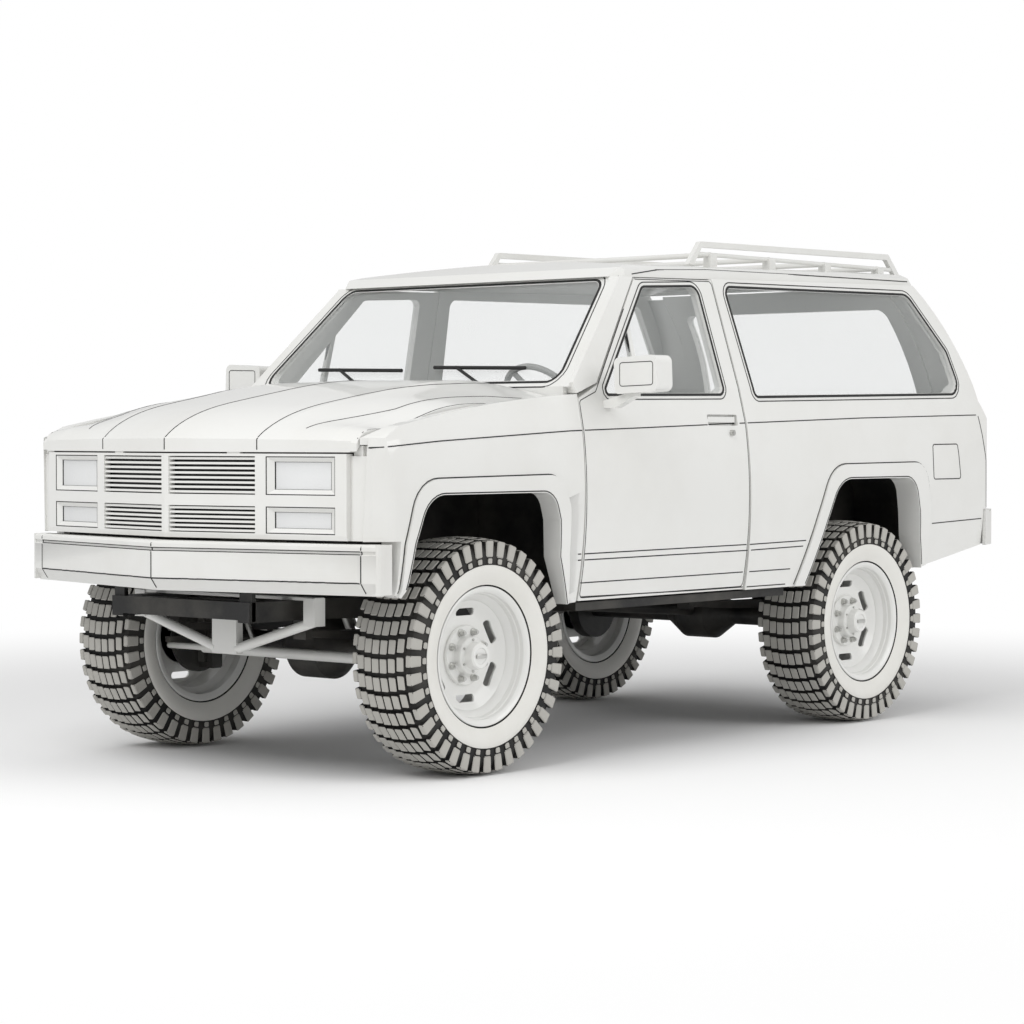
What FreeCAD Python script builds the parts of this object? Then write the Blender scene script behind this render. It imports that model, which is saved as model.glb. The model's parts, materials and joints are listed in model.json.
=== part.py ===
import FreeCAD, Part
import math
import os

import Sketcher
from FreeCAD import Placement, Rotation, Vector

# A lifted two-door off-road wagon as an assembly of separate parts, in millimetres.
# +X is forward, +Y is the vehicle's left, +Z is up, and Z = 0 is the ground.

os.makedirs("parts", exist_ok=True)
doc = FreeCAD.newDocument("OffRoadWagon")
sheet = doc.addObject("Spreadsheet::Sheet", "Dimensions")


class Size:
    """A length with its number and the sheet expression that it comes from."""

    def __init__(self, number, text):
        self.number = float(number)
        self.text = text

    def joined(self, sign, other, number):
        return Size(number, "(%s %s %s)" % (self.text, sign, other.text))

    def __add__(self, other):
        other = sized(other)
        return self.joined("+", other, self.number + other.number)

    def __sub__(self, other):
        other = sized(other)
        return self.joined("-", other, self.number - other.number)

    def __mul__(self, other):
        other = sized(other)
        return self.joined("*", other, self.number * other.number)

    def __truediv__(self, other):
        other = sized(other)
        return self.joined("/", other, self.number / other.number)

    def __radd__(self, other):
        return sized(other) + self

    def __rsub__(self, other):
        return sized(other) - self

    def __rmul__(self, other):
        return sized(other) * self

    def __neg__(self):
        return sized(0) - self


def sized(value):
    """Any number as a Size."""
    if isinstance(value, Size):
        return value
    return Size(value, "%.6f" % value)


def cell(alias, value):
    """Writes one driving dimension into the sheet and hands it back as a Size."""
    row = len(cell.rows) + 1
    cell.rows.append(alias)
    sheet.set("A%d" % row, str(value))
    sheet.setAlias("A%d" % row, alias)
    return Size(value, "Dimensions." + alias)


cell.rows = []

# Main stations and heights
front_axle = cell("front_axle_station", 1470)
wheelbase = cell("wheelbase", 2700)
nose = cell("front_bumper_station", 2380)
tail = cell("rear_bumper_station", -2380)
half_width = cell("body_half_width", 1000)
sill = cell("sill_height", 660)
rake = cell("upper_body_rake", 0.024)
fender_rake = cell("fender_line_rake", 0.050)
sweep = cell("nose_sweep", 0.160)
# Wheels
tyre_radius = cell("tyre_radius", 470)
tyre_half = cell("tyre_half_breadth", 160)
tread_depth = cell("tread_depth", 24)
spindle_radius = cell("spindle_radius", 15)
bead_half = cell("bead_seat_half_breadth", 115)
rim_radius = cell("bead_seat_radius", 254)
lip_radius = cell("rim_lip_radius", 277)
wheel_side = cell("wheel_centre_offset", 805)
kingpin_side = cell("kingpin_offset", 660)
lug_count = 22
lug_half = 39
slot_count = 8
# Panels and gaps
shut_gap = cell("shut_line_gap", 6)
wall = cell("door_wall_depth", 62)
pillar = cell("pillar_wall_depth", 40)
fender_wall = cell("fender_wall_depth", 30)
plate = cell("plate_gauge", 4)
glass = cell("glass_gauge", 6)
glass_inset = cell("glass_inset", 14)
fit = cell("curved_fit_gap", 0.3)
flare = cell("arch_flare_rise", 12)
hood_wall = cell("hood_wall_depth", 28)
tailgate_wall = cell("tailgate_wall_depth", 55)
tailgate_half = cell("tailgate_half_width", 750)
# Running gear
axle_tube = cell("axle_tube_radius", 46)
rail_side = cell("frame_rail_offset", 365)
rail_half = cell("frame_rail_half_breadth", 32)
rail_low = cell("frame_rail_underside", 575)
rail_high = cell("frame_rail_top", 675)
arm_reach = cell("steering_arm_reach", 200)
doc.recompute()

rear_axle = front_axle - wheelbase


def ahead(distance):
    """A station measured forward from the front axle."""
    return front_axle + distance


def aft(distance):
    """A station measured forward from the rear axle."""
    return rear_axle + distance


def level(height):
    """A body height that reads true while the sill stands 660 above the ground."""
    return sill + (height - 660)


def inboard(distance):
    """A lateral place on the left, measured in from the widest body line."""
    return half_width - distance


class Plane:
    def __init__(self, turn, axis):
        self.turn = turn
        self.axis = axis


PLAN = Plane(Rotation(), (0, 0, 1))
SIDE = Plane(Rotation(Vector(1, 0, 0), 90), (0, 1, 0))
FRONT = Plane(Rotation(Vector(1, 1, 1), 120), (1, 0, 0))


def bind(item, path, value):
    """Ties a property to the sheet if its value comes from there."""
    value = sized(value)
    if "Dimensions." in value.text:
        item.setExpression(path, value.text)


def place(item, point, turn=None):
    """Puts an item at a point and ties the point to the sheet."""
    point = [sized(value) for value in point]
    item.Placement = Placement(Vector(*[value.number for value in point]), turn or Rotation())
    for name, value in zip("xyz", point):
        bind(item, "Placement.Base." + name, value)


class Bow(tuple):
    """A point that the edge between its two neighbours passes through as an arc."""


def bow(across, up):
    return Bow((across, up))


def arc_between(start, middle, end):
    """The sketch arc through three points, and whether it runs from start to end."""
    circle = Part.Arc(start, middle, end).toShape().Curve
    centre = circle.Center
    first = math.atan2(start.y - centre.y, start.x - centre.x)
    last = math.atan2(end.y - centre.y, end.x - centre.x)
    turn = (middle - start).cross(end - middle).z
    ring = Part.Circle(centre, Vector(0, 0, 1), circle.Radius)
    if turn > 0:
        return Part.ArcOfCircle(ring, first, last), True
    return Part.ArcOfCircle(ring, last, first), False


def outline(label, plane, corners, offset=0):
    """A closed sketch; a corner is (across, up) or (across, up, rounding radius)."""
    sketch = doc.addObject("Sketcher::SketchObject", label)
    place(sketch, [sized(offset) * unit for unit in plane.axis], plane.turn)
    stops = []
    bows = {}
    for corner in corners:
        if isinstance(corner, Bow):
            bows[len(stops) - 1] = corner
        else:
            stops.append(corner)
    count = len(stops)
    points = [Vector(sized(stop[0]).number, sized(stop[1]).number, 0) for stop in stops]
    starts = list(points)
    ends = list(points)
    rounds = {}
    for index, stop in enumerate(stops):
        if len(stop) < 3:
            continue
        back = (points[index - 1] - points[index]).normalize()
        forth = (points[(index + 1) % count] - points[index]).normalize()
        half_angle = back.getAngle(forth) / 2
        trim = sized(stop[2]).number / math.tan(half_angle)
        ends[index] = points[index] + back * trim
        starts[index] = points[index] + forth * trim
        inward = (back + forth).normalize()
        reach = sized(stop[2]).number / math.sin(half_angle)
        rounds[index] = points[index] + inward * (reach - sized(stop[2]).number)
    geometry = []
    first_end = {}
    helpers = []
    for index in range(count):
        start = starts[index]
        end = ends[(index + 1) % count]
        if index in bows:
            middle = Vector(sized(bows[index][0]).number, sized(bows[index][1]).number, 0)
            curve, along = arc_between(start, middle, end)
        else:
            curve, along = Part.LineSegment(start, end), True
        first_end[index] = (1, 2) if along else (2, 1)
        geometry.append(curve)
    for index, middle in rounds.items():
        curve, along = arc_between(ends[index], middle, starts[index])
        first_end[("round", index)] = (len(geometry), (1, 2) if along else (2, 1))
        geometry.append(curve)
    edges = sketch.addGeometry(geometry, False)
    rules = []
    ties = []

    def fix(geo, pos, across, up):
        for kind, value in (("DistanceX", across), ("DistanceY", up)):
            ties.append((len(rules), sized(value)))
            rules.append(Sketcher.Constraint(kind, -1, 1, geo, pos, sized(value).number))

    def marker(across, up):
        spot = Part.Point(Vector(sized(across).number, sized(up).number, 0))
        geo = sketch.addGeometry(spot, True)
        fix(geo, 1, across, up)
        return geo

    for index, stop in enumerate(stops):
        before = (index - 1) % count
        start_pos = first_end[index][0]
        end_pos = first_end[before][1]
        if index in rounds:
            arc, (arc_start, arc_end) = first_end[("round", index)]
            spot = marker(stop[0], stop[1])
            rules.append(Sketcher.Constraint("PointOnObject", spot, 1, before))
            rules.append(Sketcher.Constraint("PointOnObject", spot, 1, index))
            rules.append(Sketcher.Constraint("Tangent", before, end_pos, arc, arc_start))
            rules.append(Sketcher.Constraint("Tangent", arc, arc_end, index, start_pos))
            ties.append((len(rules), sized(stop[2])))
            rules.append(Sketcher.Constraint("Radius", arc, sized(stop[2]).number))
        else:
            rules.append(Sketcher.Constraint("Coincident", before, end_pos, index, start_pos))
            fix(index, start_pos, stop[0], stop[1])
        if index in bows:
            spot = marker(bows[index][0], bows[index][1])
            rules.append(Sketcher.Constraint("PointOnObject", spot, 1, index))
    sketch.addConstraint(rules)
    for number, value in ties:
        bind(sketch, "Constraints[%d]" % number, value)
    return sketch


def ring(label, plane, centre, radius, offset):
    """A round sketch about a centre in a plane."""
    sketch = doc.addObject("Sketcher::SketchObject", label)
    place(sketch, [sized(offset) * unit for unit in plane.axis], plane.turn)
    across, up = [sized(value) for value in centre]
    spot = Vector(across.number, up.number, 0)
    sketch.addGeometry(Part.Circle(spot, Vector(0, 0, 1), sized(radius).number), False)
    rules = [
        Sketcher.Constraint("DistanceX", -1, 1, 0, 3, across.number),
        Sketcher.Constraint("DistanceY", -1, 1, 0, 3, up.number),
        Sketcher.Constraint("Radius", 0, sized(radius).number),
    ]
    sketch.addConstraint(rules)
    for number, value in enumerate((across, up, sized(radius))):
        bind(sketch, "Constraints[%d]" % number, value)
    return sketch


def drawn_out(label, sketch, travel):
    """A sketch extruded along a travel vector."""
    item = doc.addObject("Part::Extrusion", label)
    item.Base = sketch
    item.DirMode = "Custom"
    item.Solid = True
    travel = [sized(value) for value in travel]
    item.Dir = Vector(*[value.number for value in travel])
    for name, value in zip("xyz", travel):
        bind(item, "Dir." + name, value)
    return item


def prism(label, plane, corners, low, high, lean=(0, 0, 0)):
    """An outline extruded from low to high along its plane's axis, leaning as told."""
    sketch = outline(label + "_outline", plane, corners, low)
    run = sized(high) - low
    travel = [run * (sized(unit) + slant) for unit, slant in zip(plane.axis, lean)]
    return drawn_out(label, sketch, travel)


def bar(label, plane, centre, radius, low, high):
    """A round bar along a plane's axis."""
    sketch = ring(label + "_outline", plane, centre, radius, low)
    run = sized(high) - low
    return drawn_out(label, sketch, [run * unit for unit in plane.axis])


def stay(label, start, end, radius):
    """A round bar between two points in space."""
    start = [sized(value) for value in start]
    end = [sized(value) for value in end]
    travel = [to - origin for origin, to in zip(start, end)]
    heading = Vector(*[value.number for value in travel])
    sketch = ring(label + "_outline", PLAN, (0, 0), radius, 0)
    place(sketch, start, Rotation(Vector(0, 0, 1), heading))
    return drawn_out(label, sketch, travel)


def block(label, x, y, z):
    """A box between a low and a high end along each axis."""
    item = doc.addObject("Part::Box", label)
    for name, (low, high) in (("Length", x), ("Width", y), ("Height", z)):
        run = sized(high) - low
        setattr(item, name, run.number)
        bind(item, name, run)
    place(item, (x[0], y[0], z[0]))
    return item


def turned(label, corners, point, axis, plane=FRONT):
    """An outline turned a full circle about an axis through a point."""
    offset = sum((sized(value) * unit for value, unit in zip(point, plane.axis)), sized(0))
    item = doc.addObject("Part::Revolution", label)
    item.Source = outline(label + "_outline", plane, corners, offset)
    item.Axis = Vector(*axis)
    item.Angle = 360
    item.Solid = True
    point = [sized(value) for value in point]
    item.Base = Vector(*[value.number for value in point])
    for name, value in zip("xyz", point):
        bind(item, "Base." + name, value)
    return item


def fuse(label, *shapes):
    item = doc.addObject("Part::MultiFuse", label)
    item.Shapes = list(shapes)
    item.Refine = True
    return item


def group(label, *shapes):
    """Separate solids kept as one item."""
    item = doc.addObject("Part::Compound", label)
    item.Links = list(shapes)
    return item


def cut(label, base, *tools):
    item = doc.addObject("Part::Cut", label)
    item.Base = base
    item.Tool = tools[0] if len(tools) == 1 else group(label + "_tools", *tools)
    return item


def common(label, *shapes):
    item = doc.addObject("Part::MultiCommon", label)
    item.Shapes = list(shapes)
    return item


def mirrored(label, source, normal=(0, 1, 0), station=0):
    """A copy on the other side of a plane that stands at a station."""
    item = doc.addObject("Part::Mirroring", label)
    item.Source = source
    item.Normal = Vector(*normal)
    station = sized(station)
    item.Base = Vector(*[station.number * unit for unit in normal])
    for name, unit in zip("xyz", normal):
        if unit:
            bind(item, "Base." + name, station)
    return item


nodes = {}


def node(name, item):
    """Names an item as one part of the vehicle."""
    item.Label = name
    nodes[name] = item
    return item


def both_sides(name, item):
    """Names an item as the left part and makes the right part from it."""
    node(name + "_left", item)
    return node(name + "_right", mirrored(name + "_right", item))


# Wheels
wheel_up = tyre_radius
mid_wheelbase = front_axle - wheelbase / 2
tread_base = tyre_radius - tread_depth


def four_wheels(name, front_left):
    """Names the front left item and makes the other three corners from it."""
    node(name + "_front_left", front_left)
    rear_left = node(name + "_rear_left", mirrored(name + "_rear_left", front_left, (1, 0, 0), mid_wheelbase))
    node(name + "_front_right", mirrored(name + "_front_right", front_left))
    node(name + "_rear_right", mirrored(name + "_rear_right", rear_left))


def about_wheel(across, radius):
    """A point of a wheel section: offset along the axle line and distance from it."""
    return wheel_side + across, wheel_up + radius


def make_tyre():
    wall_gauge = 16
    shoulder = tyre_half - 18
    bulge = tyre_half - 4
    inner_seat = bead_half - fit - wall_gauge
    inner_bulge = bulge - wall_gauge
    inner_crown = shoulder - wall_gauge
    profile = [
        about_wheel(bead_half - fit, rim_radius),
        about_wheel(bead_half - fit, lip_radius + 8),
        about_wheel(bulge - 4, rim_radius + 64),
        about_wheel(bulge, rim_radius + 110),
        about_wheel(bulge - 6, tread_base - 28),
        about_wheel(shoulder, tread_base),
        about_wheel(-shoulder, tread_base),
        about_wheel(6 - bulge, tread_base - 28),
        about_wheel(-bulge, rim_radius + 110),
        about_wheel(4 - bulge, rim_radius + 64),
        about_wheel(fit - bead_half, lip_radius + 8),
        about_wheel(fit - bead_half, rim_radius),
        about_wheel(-inner_seat, rim_radius),
        about_wheel(-inner_seat, lip_radius + 18),
        about_wheel(-inner_bulge, rim_radius + 86),
        about_wheel(-inner_crown, tread_base - wall_gauge),
        about_wheel(inner_crown, tread_base - wall_gauge),
        about_wheel(inner_bulge, rim_radius + 86),
        about_wheel(inner_seat, lip_radius + 18),
        about_wheel(inner_seat, rim_radius),
    ]
    carcass = turned("tyre_carcass", profile, (front_axle, 0, wheel_up), (0, 1, 0))
    lugs = []
    depth = tread_depth + 10
    foot = tyre_radius - depth - 0.8
    length = tyre_half - 8
    for side in (1, -1):
        for index in range(lug_count):
            angle = 360 / lug_count * (index + (0.5 if side > 0 else 0))
            turn = Rotation(Vector(0, 1, 0), angle)
            across = turn.multVec(Vector(-lug_half, 0, 0))
            up = turn.multVec(Vector(0, 0, 1))
            lug = doc.addObject("Part::Box", "lug")
            lug.Length = 2 * lug_half
            lug.Width = length.number
            bind(lug, "Width", length)
            lug.Height = depth.number
            bind(lug, "Height", depth)
            start = wheel_side + 6 if side > 0 else wheel_side - 6 - length
            corner = (front_axle + across.x + foot * up.x, start, wheel_up + across.z + foot * up.z)
            place(lug, corner, turn)
            lugs.append(lug)
    return fuse("tyre", carcass, *lugs)


four_wheels("tyre", make_tyre())


def make_rim():
    dish = 48
    profile = [
        about_wheel(122, rim_radius - 8),
        about_wheel(132, lip_radius - 4),
        about_wheel(128, lip_radius),
        about_wheel(bead_half + 3, lip_radius - 2),
        about_wheel(bead_half, rim_radius - fit),
        about_wheel(70, rim_radius - fit),
        about_wheel(50, rim_radius - 28),
        about_wheel(-60, rim_radius - 28),
        about_wheel(-80, rim_radius - fit),
        about_wheel(-bead_half, rim_radius - fit),
        about_wheel(-3 - bead_half, lip_radius - 2),
        about_wheel(-128, lip_radius),
        about_wheel(-132, lip_radius - 4),
        about_wheel(-122, rim_radius - 8),
        about_wheel(-84, rim_radius - 8),
        about_wheel(-62, rim_radius - 36),
        about_wheel(dish - 14, rim_radius - 36),
        about_wheel(dish - 6, 205),
        about_wheel(dish - 34, 165),
        about_wheel(dish - 34, 54),
        about_wheel(dish - 26, 54),
        about_wheel(dish - 26, 160),
        about_wheel(dish + 2, 205),
        about_wheel(dish + 2, rim_radius - 34),
        about_wheel(72, rim_radius - 8),
    ]
    dished = turned("rim_dished", profile, (front_axle, 0, wheel_up), (0, 1, 0))
    slots = []
    for index in range(slot_count):
        angle = 2 * math.pi * (index + 0.5) / slot_count
        out = (math.sin(angle), math.cos(angle))
        flat = (math.cos(angle), -math.sin(angle))
        corners = []
        for radial, tangent in ((168, -30), (168, 30), (200, 30), (200, -30)):
            across = out[0] * radial + flat[0] * tangent
            up = out[1] * radial + flat[1] * tangent
            corners.append((front_axle + across, wheel_up + up, 14))
        slots.append(prism("rim_slot", SIDE, corners, wheel_side - 20, wheel_side + 80))
    pierced = cut("rim_pierced", dished, *slots)
    hub_profile = [
        (wheel_side - 20, wheel_up + spindle_radius + fit),
        (wheel_side - 20, wheel_up + 62),
        (wheel_side + 74, wheel_up + 58),
        (wheel_side + 80, wheel_up + 52),
        (wheel_side + 80, wheel_up + 40),
        (wheel_side + 108, wheel_up + 38),
        (wheel_side + 112, wheel_up + 34),
        (wheel_side + 112, wheel_up),
        (wheel_side + 40, wheel_up),
        (wheel_side + 40, wheel_up + spindle_radius + fit),
    ]
    hub = turned("wheel_hub", hub_profile, (front_axle, 0, wheel_up), (0, 1, 0))
    return fuse("rim", pierced, hub)


four_wheels("rim", make_rim())

# Front axle, knuckles and steering
ball_height = cell("kingpin_half_height", 105)
rod_radius = cell("tie_rod_radius", 13)
rod_up = wheel_up - 22
rod_ahead = ahead(arm_reach)


def make_knuckle():
    yoke = block(
        "knuckle_post",
        (ahead(-26), ahead(26)),
        (kingpin_side - 16, kingpin_side + 24),
        (wheel_up - ball_height, wheel_up + ball_height),
    )
    spindle = bar("spindle", SIDE, (front_axle, wheel_up), spindle_radius, kingpin_side + 20, wheel_side + 34)
    flange = bar("brake_rotor", SIDE, (front_axle, wheel_up), 150, kingpin_side + 38, kingpin_side + 60)
    caliper = block(
        "brake_caliper",
        (ahead(-170), ahead(-100)),
        (kingpin_side + 24, kingpin_side + 74),
        (wheel_up - 60, wheel_up + 60),
    )
    arm = block(
        "steering_arm",
        (ahead(20), ahead(arm_reach + 22)),
        (kingpin_side - 16, kingpin_side + 14),
        (rod_up + rod_radius + fit, rod_up + rod_radius + 24),
    )
    return fuse("knuckle", yoke, spindle, flange, caliper, arm)


both_sides("knuckle", make_knuckle())

# Tie rod across the front of the axle
node(
    "tie_rod",
    fuse(
        "tie_rod",
        bar("tie_rod_bar", SIDE, (rod_ahead, rod_up), rod_radius, -kingpin_side - 14, kingpin_side + 14),
        bar("tie_rod_sleeve", SIDE, (rod_ahead, rod_up), 22, -455, 455),
    ),
)


def make_axle(name, station, bulge_side, bulge_radius, end):
    """A live axle: tube with a banjo bulge, turned about the axle line."""
    corners = [
        (-end, wheel_up),
        (-end, wheel_up + axle_tube),
        (bulge_side - 190, wheel_up + axle_tube),
        (bulge_side - 80, wheel_up + bulge_radius),
        (bulge_side + 80, wheel_up + bulge_radius),
        (bulge_side + 190, wheel_up + axle_tube),
        (end, wheel_up + axle_tube),
        (end, wheel_up),
    ]
    return turned(name + "_housing", corners, (station, 0, wheel_up), (0, 1, 0))


def make_front_axle():
    housing = make_axle("front_axle", front_axle, 40, 135, kingpin_side - 60)
    parts = [housing]
    for sign, label in ((1, "left"), (-1, "right")):
        inner = (kingpin_side - 70) * sign
        outer = (kingpin_side + 18) * sign
        low, high = (inner, outer) if sign > 0 else (outer, inner)
        for place_up, name in ((ball_height + fit, "upper"), (-ball_height - fit - 24, "lower")):
            parts.append(
                block(
                    name + "_yoke_" + label,
                    (ahead(-24), ahead(24)),
                    (low, high),
                    (wheel_up + place_up, wheel_up + place_up + 24),
                )
            )
        back = (kingpin_side - 40) * sign
        low, high = (inner, back) if sign > 0 else (back, inner)
        parts.append(
            block(
                "yoke_back_" + label,
                (ahead(-30), ahead(30)),
                (low, high),
                (wheel_up - ball_height - 20, wheel_up + ball_height + 20),
            )
        )
    return fuse("front_axle", *parts)


front_axle_node = node("front_axle", make_front_axle())


def make_rear_axle():
    housing = make_axle("rear_axle", rear_axle, 0, 118, kingpin_side + 40)
    parts = [housing]
    for sign, label in ((1, "left"), (-1, "right")):
        inner = kingpin_side + 10
        outer = kingpin_side + 70
        low, high = (inner, outer) if sign > 0 else (-outer, -inner)
        parts.append(bar("brake_drum_" + label, SIDE, (rear_axle, wheel_up), 150, low, high))
        stub_end = wheel_side + 34
        low, high = (outer - 2, stub_end) if sign > 0 else (-stub_end, 2 - outer)
        parts.append(bar("axle_stub_" + label, SIDE, (rear_axle, wheel_up), spindle_radius, low, high))
    return fuse("rear_axle", *parts)


rear_axle_node = node("rear_axle", make_rear_axle())

# Ladder frame
rocker_inner = inboard(138)
rail_in = rail_side - rail_half
rail_out = rail_side + rail_half


def make_frame():
    side_view = [
        (nose - 150, rail_low + 40),
        (nose - 150, rail_high + 20),
        (ahead(420), rail_high + 20, 120),
        (ahead(-620), rail_high, 200),
        (aft(700), rail_high, 200),
        (aft(360), rail_high + 75, 200),
        (aft(-420), rail_high + 75, 200),
        (aft(-700), rail_high + 10, 150),
        (tail + 120, rail_high + 10),
        (tail + 120, rail_low + 40),
        (aft(-660), rail_low + 30, 150),
        (aft(-400), rail_low + 90, 200),
        (aft(340), rail_low + 90, 200),
        (aft(640), rail_low, 200),
        (ahead(-620), rail_low, 200),
        (ahead(400), rail_low + 40, 120),
    ]
    rails = prism("rail_left", SIDE, side_view, rail_in, rail_out)
    parts = [rails, mirrored("rail_right", rails)]
    cross_places = (
        (nose - 210, nose - 150, 50, 20),
        (ahead(330), ahead(400), 44, 0),
        (aft(760), aft(840), 30, -20),
        (aft(-40), aft(40), 110, 60),
        (aft(-760), aft(-700), 45, -10),
    )
    for index, (low, high, bottom, top) in enumerate(cross_places):
        parts.append(
            block(
                "crossmember_%d" % index,
                (low, high),
                (-rail_side, rail_side),
                (rail_low + bottom, rail_high + top),
            )
        )
    dropped = [
        (-rail_out, rail_low + 30),
        (-rail_out, rail_low - 4),
        (-250, rail_low - 70, 40),
        (250, rail_low - 70, 40),
        (rail_out, rail_low - 4),
        (rail_out, rail_low + 30),
        (260, rail_low - 36, 40),
        (-260, rail_low - 36, 40),
    ]
    parts.append(prism("gearbox_cradle", FRONT, dropped, ahead(-1160), ahead(-1060)))
    outriggers = (ahead(-640), ahead(-1200), aft(700))
    for index, station in enumerate(outriggers):
        arm = block(
            "outrigger_left_%d" % index,
            (station - 40, station + 40),
            (rail_side, rocker_inner - plate),
            (rail_high - 60, rail_high - 4),
        )
        parts.append(arm)
        parts.append(mirrored("outrigger_right_%d" % index, arm))
    return fuse("frame", *parts)


node("frame", make_frame())

# Springs, dampers and stays
spring_side = rail_side


def make_spring(name, station, reach, front_seat, rear_seat):
    """One leaf pack, bowed up to its eyes, with a shackle at each end."""
    saddle = wheel_up + axle_tube + fit
    eye_up = rail_low - 24
    pack = [
        (station - reach, eye_up - 4),
        bow(station, saddle),
        (station + reach, eye_up - 4),
        (station + reach, eye_up + 20),
        bow(station, saddle + 39),
        (station - reach, eye_up + 20),
    ]
    leaf = prism(name + "_pack", SIDE, pack, spring_side - 30, spring_side + 30)
    parts = [leaf]
    for end, sign, seat in ((station - reach, -1, rear_seat), (station + reach, 1, front_seat)):
        low, high = (end - 10, end + 26) if sign > 0 else (end - 26, end + 10)
        parts.append(
            block(
                name + "_shackle",
                (low, high),
                (spring_side - 34, spring_side + 34),
                (eye_up - 16, rail_low + seat),
            )
        )
    parts.append(
        block(
            name + "_clamp",
            (station - 50, station + 50),
            (spring_side - 36, spring_side + 36),
            (saddle, saddle + 50),
        )
    )
    return fuse(name, *parts)


front_spring = make_spring("front_spring", front_axle, 430, 40, 6)
rear_spring = make_spring("rear_spring", rear_axle, 620, 0, 33)
node(
    "leaf_springs",
    group(
        "leaf_springs",
        front_spring,
        mirrored("front_spring_right", front_spring),
        rear_spring,
        mirrored("rear_spring_right", rear_spring),
    ),
)


def make_damper(name, low_point, high_point):
    body = stay(name + "_body", low_point, high_point, 12)
    middle = [(sized(start) + end) / 2 for start, end in zip(low_point, high_point)]
    tube = stay(name + "_tube", middle, high_point, 26)
    return fuse(name, body, tube)


dampers = []
for name, station, lower, upper in (
    ("front_damper", front_axle, (55.7, 306.7, 6), (150, 306.7, 190)),
    ("rear_damper", rear_axle, (-54.8, 306.7, 6), (-170, 306.7, 190)),
):
    damper = make_damper(
        name,
        (station + lower[0], lower[1], wheel_up + lower[2]),
        (station + upper[0], upper[1], wheel_up + upper[2]),
    )
    dampers += [damper, mirrored(name + "_right", damper)]
node("shock_absorbers", group("shock_absorbers", *dampers))

stay_ahead = ahead(500)
stay_parts = [
    block("stay_bracket", (stay_ahead - 18, stay_ahead + 18), (-70, 70), (rail_low - 110, rail_low + 50)),
]
for sign in (1, -1):
    stay_parts.append(
        stay(
            "front_stay",
            (stay_ahead, 60 * sign, rail_low - 88),
            (stay_ahead, 490 * sign, rail_low + 36),
            20,
        )
    )
    stay_parts.append(
        block(
            "stay_hanger",
            (stay_ahead - 30, stay_ahead + 30),
            tuple(sorted((460 * sign, 520 * sign))),
            (rail_low + 20, rail_high + 30),
        )
    )
stay_parts.append(
    block("stay_beam", (stay_ahead - 24, stay_ahead + 24), (-520, 520), (rail_high + 20, rail_high + 32))
)
node("front_stays", fuse("front_stays", *stay_parts))

# Body side: one section, used for every side panel
crease_up = level(1345)
waist_up = level(1508)
eaves_up = level(2018)


def roof_seat(station):
    """The height on which the roof's edge rests at a station."""
    return eaves_up - 30 + (front_axle - station) * rake



def side_band(label, low, high, slope, out=0, depth=wall, upper_depth=pillar):
    """The left body side's full wall between two stations, leaning with the body lines."""
    rise = (front_axle - low) * slope
    lower = inboard(70 - out)
    crease = inboard(18 - out)
    waist = inboard(50 - out)
    roof_edge = inboard(200 - out)
    corners = [
        (lower, sill - 80),
        bow(inboard(4 - out), level(1010)),
        (crease, crease_up + rise),
        (waist, waist_up + rise),
        (roof_edge, eaves_up + rise + 60),
        (roof_edge - upper_depth, eaves_up + rise + 60),
        (waist - upper_depth, waist_up + rise),
        (waist - depth, waist_up + rise - 20),
        (lower - depth + 34, crease_up + rise),
        (lower - depth, sill - 80),
    ]
    return prism(label, FRONT, corners, low, high, (0, 0, -slope))


def side_cut(label, corners, low=600, high=1100):
    """A side-view outline as a tool through the whole left side."""
    return prism(label, SIDE, corners, low, high)


door_front = ahead(-555)
door_rear = aft(990)
door_low = level(664)
panel_low = level(660)
front_arch = [
    (ahead(-500), level(600)),
    (ahead(-392), level(850)),
    (ahead(-380), level(1000), 30),
    (ahead(-340), level(1112), 90),
    (ahead(400), level(1112), 130),
    (ahead(470), level(930), 60),
    (ahead(530), level(600)),
]
front_flare = [
    (ahead(-500), level(600)),
    (ahead(-455), level(860)),
    (ahead(-450), level(1050), 40),
    (ahead(-395), level(1182), 110),
    (ahead(450), level(1172), 150),
    (ahead(520), level(930), 60),
    (ahead(545), level(600)),
]
rear_arch = [
    (aft(-470), level(600)),
    (aft(-385), level(860)),
    (aft(-370), level(980), 30),
    (aft(-335), level(1140), 100),
    (aft(310), level(1140), 150),
    (aft(400), level(960), 60),
    (aft(560), level(600)),
]
rear_flare = [
    (aft(-480), level(600)),
    (aft(-470), level(860)),
    (aft(-480), level(1020), 40),
    (aft(-430), level(1212), 120),
    (aft(360), level(1206), 170),
    (aft(470), level(980), 60),
    (aft(640), level(600)),
]


def lipped(name, panel, low, high, slope, arch, lip, depth, upper_depth):
    """A panel with a wheel opening cut and a raised lip round it."""
    raised = side_band(name + "_lip_band", low, high, slope, flare, depth, upper_depth)
    ring_tool = side_cut(name + "_lip_tool", lip, inboard(150))
    shaped = common(name + "_lip", raised, ring_tool, side_cut(name + "_lip_bounds", panel))
    band = side_band(name + "_band", low, high, slope, 0, depth, upper_depth)
    base = common(name + "_skin", band, side_cut(name + "_bounds", panel))
    whole = fuse(name + "_whole", base, shaped)
    return cut(name + "_open", whole, side_cut(name + "_arch", arch, 300))


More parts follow.
